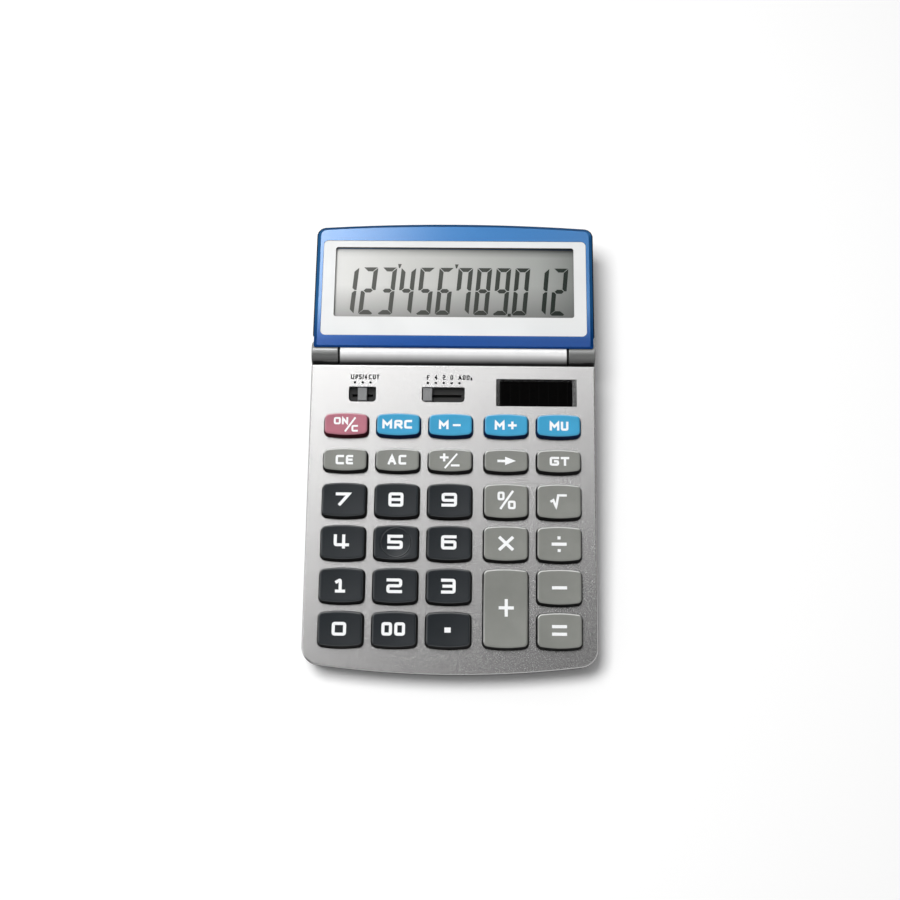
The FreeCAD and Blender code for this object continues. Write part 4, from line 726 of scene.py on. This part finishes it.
# Legend of each key: glyph, left, right, low and high of its outer box from the key's middle, and pen
LEGENDS = {
    "0": [("0", -2.97, 2.23, -2.55, 2.42, DIGIT)],
    "00": [("0", -4.53, -0.7, -2.36, 2.5, DIGIT), ("0", 0.11, 4.0, -2.36, 2.5, DIGIT)],
    "point": [("block", -1.31, 0.96, -1.03, 0.8, FILLED)],
    "equals": [("bar", -2.8, 2.6, 0.94, 2.11, SIGN), ("bar", -2.8, 2.6, -1.79, -0.63, SIGN)],
    "1": [("1", -2.22, 1.47, -2.81, 2.56, DIGIT)],
    "2": [("2", -3.05, 2.63, -2.8, 2.58, DIGIT)],
    "3": [("3", -2.73, 2.58, -2.78, 2.66, DIGIT)],
    "plus": [("plus", -2.55, 2.96, -2.91, 3.5, SIGN)],
    "minus": [("bar", -2.77, 2.72, -0.85, 0.33, SIGN)],
    "4": [("4", -3.25, 2.39, -2.44, 2.78, DIGIT)],
    "5": [("5", -3.12, 2.55, -2.43, 2.9, DIGIT)],
    "6": [("6", -2.95, 2.7, -2.43, 2.85, DIGIT)],
    "times": [("times", -2.66, 2.8, -2.59, 2.62, SIGN)],
    "divide": [
        ("block", -0.67, 0.46, 1.69, 2.84, FILLED), ("bar", -2.82, 2.65, -0.67, 0.52, SIGN),
        ("block", -0.64, 0.5, -2.98, -1.89, FILLED),
    ],
    "7": [("7", -3.02, 2.4, -2.26, 2.66, DIGIT_SHARP)],
    "8": [("8", -3.05, 2.49, -2.51, 2.84, DIGIT)],
    "9": [("9", -2.98, 2.71, -2.33, 2.86, DIGIT)],
    "percent": [
        ("slash", -2.3, 2.77, -3.11, 3.93, LETTER_SHARP),
        ("0", -3.15, -0.53, 0.22, 3.53, LETTER), ("0", 0.69, 3.56, -3.08, 0.16, LETTER),
    ],
    "root": [("root", -3.24, 2.83, -2.63, 2.71, LETTER_SHARP)],
    "ce": [("C", -3.49, -0.4, -1.95, 1.65, LETTER), ("E", 0.31, 2.99, -1.95, 1.65, LETTER)],
    "ac": [("A", -3.64, -0.52, -1.85, 1.85, LETTER_SHARP), ("C", 0.35, 3.23, -1.85, 1.85, LETTER)],
    "sign": [
        ("plus", -3.83, -0.6, -0.5, 2.55, LETTER_SHARP), ("slash", -2.1, 2.7, -3.15, 2.55, SLASH),
        ("bar", 0.3, 3.5, -2.4, -1.65, SMALL_BAR),
    ],
    "arrow": [("bar", -3.25, 0.2, -0.63, 0.35, ARROW), ("head", -0.4, 3.6, -1.7, 1.5, FILLED)],
    "gt": [("G", -3.41, 0.1, -1.78, 1.6, LETTER), ("T", 0.68, 3.83, -1.78, 1.6, LETTER)],
    "on_c": [
        ("O", -4.6, -2.0, -0.25, 2.55, SMALL_LETTER), ("N", -1.6, 0.75, -0.25, 2.55, SMALL_LETTER_SHARP),
        ("slash", -0.5, 3.6, -3.05, 2.55, SLASH), ("C", 2.05, 4.45, -3.05, -0.45, SMALL_LETTER),
    ],
    "mrc": [
        ("M", -5.95, -2.31, -1.7, 1.65, LETTER_SHARP), ("R", -1.51, 1.58, -1.7, 1.65, LETTER),
        ("C", 2.2, 5.11, -1.7, 1.65, LETTER),
    ],
    "m_minus": [("M", -4.35, -0.75, -1.75, 1.55, LETTER_SHARP), ("bar", 0.85, 3.75, -0.6, 0.2, SMALL_BAR)],
    "m_plus": [("M", -4.3, -0.62, -1.82, 1.6, LETTER_SHARP), ("plus", 0.67, 3.87, -1.6, 1.35, LETTER_SHARP)],
    "mu": [("M", -3.36, 0.23, -1.95, 1.45, LETTER_SHARP), ("U", 0.81, 3.62, -2.0, 1.45, LETTER)],
}

# Marks beside the switches on the deck: glyph, left and right, all in one row, and a lower small one
MARK_ROW = (110.8, 112.7)
SWITCH_MARKS = [
    ("U", -38.6, -37.3), ("P", -36.9, -35.8), ("5", -35.5, -34.5), ("slash", -34.3, -33.7),
    ("small_4", -33.55, -32.4), ("C", -31.9, -30.7), ("U", -30.3, -29.2), ("T", -28.9, -27.8),
    ("F", -9.9, -8.9), ("small_4", -7.1, -5.8), ("2", -3.9, -2.8), ("0", -1.0, 0.1),
    ("A", 2.0, 3.3), ("D", 3.65, 4.8), ("D", 5.15, 6.3),
]
LOW_MARK = ("2", 6.6, 7.3, 110.6, 111.8)
DOT_ROW = 109.55
SWITCH_DOTS = (-37.0, -34.05, -31.1, -9.45, -6.45, -3.45, -0.5, 2.45)


def rounded_path(points, radius, closed):
    """The path with its corners turned into short arcs, and its runs cut into short steps."""
    count = len(points)
    corners = []
    for index, point in enumerate(points):
        here = Vector(point)
        if not closed and index in (0, count - 1):
            corners.append([here])
            continue
        back = Vector(points[index - 1]) - here
        ahead = Vector(points[(index + 1) % count]) - here
        half_turn = back.angle(ahead) / 2
        if radius <= 0 or half_turn < SHARP_HALF_ANGLE:
            corners.append([here])
            continue
        longest = CORNER_SHARE * min(back.length, ahead.length)
        reach = min(radius / math.tan(half_turn), longest)
        start = here + back.normalized() * reach
        end = here + ahead.normalized() * reach
        corner = []
        for step in range(CORNER_STEPS + 1):
            t = step / CORNER_STEPS
            corner.append(start * (1 - t) ** 2 + here * 2 * t * (1 - t) + end * t ** 2)
        corners.append(corner)
    path = [point for corner in corners for point in corner]
    if closed:
        path.append(path[0])
    fine = [path[0]]
    for a, b in zip(path, path[1:]):
        steps = max(1, math.ceil((b - a).length / PATH_STEP))
        fine.extend(a.lerp(b, step / steps) for step in range(1, steps + 1))
    return fine[:-1] if closed else fine


def side_points(path, width, closed):
    """Left and right edge of a stroke of the given width along the path, with square ends."""
    count = len(path)
    left, right = [], []
    for index, point in enumerate(path):
        before = path[index - 1] if index or closed else None
        after = path[(index + 1) % count] if index < count - 1 or closed else None
        ways = []
        if before is not None:
            ways.append((point - before).normalized())
        if after is not None:
            ways.append((after - point).normalized())
        normals = [Vector((-way.y, way.x)) for way in ways]
        middle = (normals[0] + normals[-1]).normalized()
        reach = width / 2 / max(middle.dot(normals[0]), LEAST_MITRE_COSINE)
        centre = point
        if before is None:
            centre = point - ways[0] * width / 2
        if after is None:
            centre = point + ways[0] * width / 2
        left.append(centre + middle * reach)
        right.append(centre - middle * reach)
    return left, right


def drape(point, carrier, lift):
    """A point of a plane (origin, right, up, normal) set down on the carrier's surface, lifted by lift."""
    origin, right, up, normal, tree = carrier
    flat = origin + (right * point.x + up * point.y) * MM
    hit = tree.ray_cast(flat + normal * DRAPE_FROM * MM, -normal)[0] if tree else None
    return (hit or flat) + normal * lift * MM


def round_steps(count):
    """Cosine and sine of evenly spaced turns round a circle."""
    turns = [2 * math.pi * step / count for step in range(count)]
    return [(math.cos(turn), math.sin(turn)) for turn in turns]


def join_rows(mesh, rows, closed):
    """Faces between neighbouring rings of vertices, round a loop or with a cap at each end."""
    pairs = list(zip(rows, rows[1:]))
    if closed:
        pairs.append((rows[-1], rows[0]))
    for one, two in pairs:
        for side in range(len(one)):
            nxt = (side + 1) % len(one)
            mesh.faces.new((one[side], one[nxt], two[nxt], two[side]))
    if not closed:
        mesh.faces.new(rows[0])
        mesh.faces.new(list(reversed(rows[-1])))


def add_ribbon(mesh, left, right, closed, carrier, lift):
    """A closed thin solid between two edges, draped on the carrier."""
    rows = []
    for a, b in zip(left, right):
        high_a, high_b = drape(a, carrier, lift), drape(b, carrier, lift)
        sink = carrier[3] * INK_DEPTH * MM
        rows.append([mesh.verts.new(place) for place in (high_a, high_b, high_b - sink, high_a - sink)])
    join_rows(mesh, rows, closed)


def add_polygon(mesh, points, carrier, lift):
    """A thin solid with a flat outline of few corners, draped at its corners."""
    high = [mesh.verts.new(drape(Vector(point), carrier, lift)) for point in points]
    low = [mesh.verts.new(vert.co - carrier[3] * INK_DEPTH * MM) for vert in high]
    mesh.faces.new(high)
    mesh.faces.new(list(reversed(low)))
    count = len(points)
    for index in range(count):
        nxt = (index + 1) % count
        mesh.faces.new((high[nxt], high[index], low[index], low[nxt]))


def add_glyph(mesh, glyph, box, pen, carrier, lift=INK_LIFT):
    left, right, low, high = box
    stroke, corner = pen
    if glyph == "block":
        add_polygon(mesh, [(left, low), (right, low), (right, high), (left, high)], carrier, lift)
        return
    if glyph == "head":
        add_polygon(mesh, [(left, low), (right, (low + high) / 2), (left, high)], carrier, lift)
        return
    inset = stroke / 2
    width = max(right - left - stroke, 0.0)
    height = max(high - low - stroke, 0.0)
    for index, points in enumerate(GLYPHS[glyph]):
        closed = points[-1] == "closed"
        places = [
            (left + inset + x * width, low + inset + y * height)
            for x, y in (points[:-1] if closed else points)
        ]
        path = rounded_path(places, corner, closed)
        edges = side_points(path, stroke, closed)
        add_ribbon(mesh, *edges, closed, carrier, lift + index * STROKE_STEP)


def finish_piece(name, mesh, material, body):
    bmesh.ops.recalc_face_normals(mesh, faces=mesh.faces)
    data = bpy.data.meshes.new(name)
    mesh.to_mesh(data)
    mesh.free()
    data.materials.append(material)
    piece = bpy.data.objects.new(name, data)
    bpy.context.scene.collection.objects.link(piece)
    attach(piece, body)
    return piece


def deck_carrier(origin, node):
    """A plane along the deck through origin, over the surface of a node."""
    mesh = frame["nodes"][node].data
    places = [vert.co for vert in mesh.vertices]
    faces = [list(face.vertices) for face in mesh.polygons]
    return origin, DECK_RIGHT, DECK_UP, DECK_NORMAL, BVHTree.FromPolygons(places, faces)


def key_carrier(name):
    return deck_carrier(Vector(joints["press_" + name]["pos_m"]), "key_" + name)


def make_legends(material):
    for name, glyphs in LEGENDS.items():
        carrier = key_carrier(name)
        mesh = bmesh.new()
        for index, (glyph, *box, pen) in enumerate(glyphs):
            add_glyph(mesh, glyph, box, pen, carrier, INK_LIFT + 2 * index * STROKE_STEP)
        finish_piece("legend_" + name, mesh, material, "key_" + name)


def make_switch_marks(material):
    carrier = deck_carrier(DECK_ORIGIN, "top_cover")
    mesh = bmesh.new()
    for glyph, left, right in SWITCH_MARKS:
        add_glyph(mesh, glyph, (left, right, *MARK_ROW), MARK, carrier)
    add_glyph(mesh, LOW_MARK[0], LOW_MARK[1:], MARK, carrier)
    for u in SWITCH_DOTS:
        ring = [(u + DOT_RADIUS * cos, DOT_ROW + DOT_RADIUS * sin) for cos, sin in round_steps(DOT_SIDES)]
        add_polygon(mesh, ring, carrier, INK_LIFT)
    finish_piece("switch_marks", mesh, material, "base")


def make_finger_ridge(material):
    """Rounded ridge round the dish of the middle key, felt by a finger."""
    carrier = key_carrier("5")
    mesh = bmesh.new()
    rows = []
    for cos, sin in round_steps(RIDGE_STEPS):
        outward = DECK_RIGHT * cos + DECK_UP * sin
        middle = drape(Vector((cos, sin)) * RIDGE_RADIUS, carrier, 0.0)
        ways = [outward * out + DECK_NORMAL * rise for out, rise in round_steps(RIDGE_SIDES)]
        rows.append([mesh.verts.new(middle + way * RIDGE_HALF_THICKNESS * MM) for way in ways])
    join_rows(mesh, rows, closed=True)
    piece = finish_piece("key_5_ridge", mesh, material, "key_5")
    piece.data.shade_smooth()


# Digits of the liquid crystal display

SEGMENTS_OF = {
    "0": "abcdef", "1": "bc", "2": "abged", "3": "abgcd", "4": "fgbc",
    "5": "afgcd", "6": "afgcde", "7": "fabc", "8": "abcdefg", "9": "abcdfg",
}
SHOWN_DIGITS = "123456789012"


def segment_shapes():
    """Outline of each segment of an upright digit, round the digit's middle."""
    half, gap, centre = SEGMENT_WIDTH / 2, SEGMENT_GAP, DIGIT_HALF_WIDTH
    outer_x, inner_x = centre + half, centre - half
    outer_y, inner_y = DIGIT_HALF_HEIGHT + half, DIGIT_HALF_HEIGHT - half
    wide, narrow = outer_x - gap, inner_x - gap
    foot = -outer_y - FOOT_EXTRA
    top = [(-wide, outer_y), (wide, outer_y), (narrow, inner_y), (-narrow, inner_y)]
    bottom = [
        (-wide + FOOT_CUT, foot), (wide - FOOT_CUT, foot), (wide, foot + FOOT_CUT),
        (narrow, -inner_y), (-narrow, -inner_y), (-wide, foot + FOOT_CUT),
    ]
    upper = [
        (outer_x, outer_y - gap), (outer_x, gap), (centre, gap),
        (inner_x, half + gap), (inner_x, inner_y - gap),
    ]
    middle = [
        (-centre + gap, 0), (-narrow, half), (narrow, half),
        (centre - gap, 0), (narrow, -half), (-narrow, -half),
    ]

    def flip(points, x=1, y=1):
        return [(x * px, y * py) for px, py in points]

    return {
        "a": top, "b": upper, "c": flip(upper, 1, -1), "d": bottom,
        "e": flip(upper, -1, -1), "f": flip(upper, -1, 1), "g": middle,
    }


def make_lcd_digits(material):
    glass_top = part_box("lcd_glass")[1].z
    origin = Vector((0, LCD_MIDDLE_Y * MM, glass_top))
    carrier = (origin, Vector((1, 0, 0)), Vector((0, 1, 0)), Vector((0, 0, 1)), None)
    shapes = segment_shapes()
    mesh = bmesh.new()

    def add(points, centre_x, centre_y=0.0):
        slanted = [(centre_x + x + (centre_y + y) * DIGIT_SLANT, centre_y + y) for x, y in points]
        add_polygon(mesh, slanted, carrier, LCD_LIFT)

    for index, digit in enumerate(SHOWN_DIGITS):
        for segment in SEGMENTS_OF[digit]:
            add(shapes[segment], DIGIT_BASE_X + index * DIGIT_PITCH)
    reach = DIGIT_HALF_HEIGHT + SEGMENT_WIDTH / 2
    for index in COMMAS_AFTER:
        add(COMMA, DIGIT_BASE_X + (index + 0.5) * DIGIT_PITCH, reach + COMMA_RISE)
    add(POINT, DIGIT_BASE_X + (POINT_AFTER + 0.5) * DIGIT_PITCH, -reach - POINT_DROP)
    finish_piece("lcd_digits", mesh, material, "display")


# Main

make_camera()
make_world()
make_floor()
make_key_light()
dress_nodes()
white_ink = ink("white_ink", (0.96, 0.97, 0.98))
black_ink = ink("black_ink", (0.006, 0.006, 0.007))
make_legends(white_ink)
make_switch_marks(black_ink)
make_finger_ridge(frame["nodes"]["key_5"].data.materials[0])
make_lcd_digits(lcd_segment())

bpy.context.scene.view_settings.view_transform = "Standard"
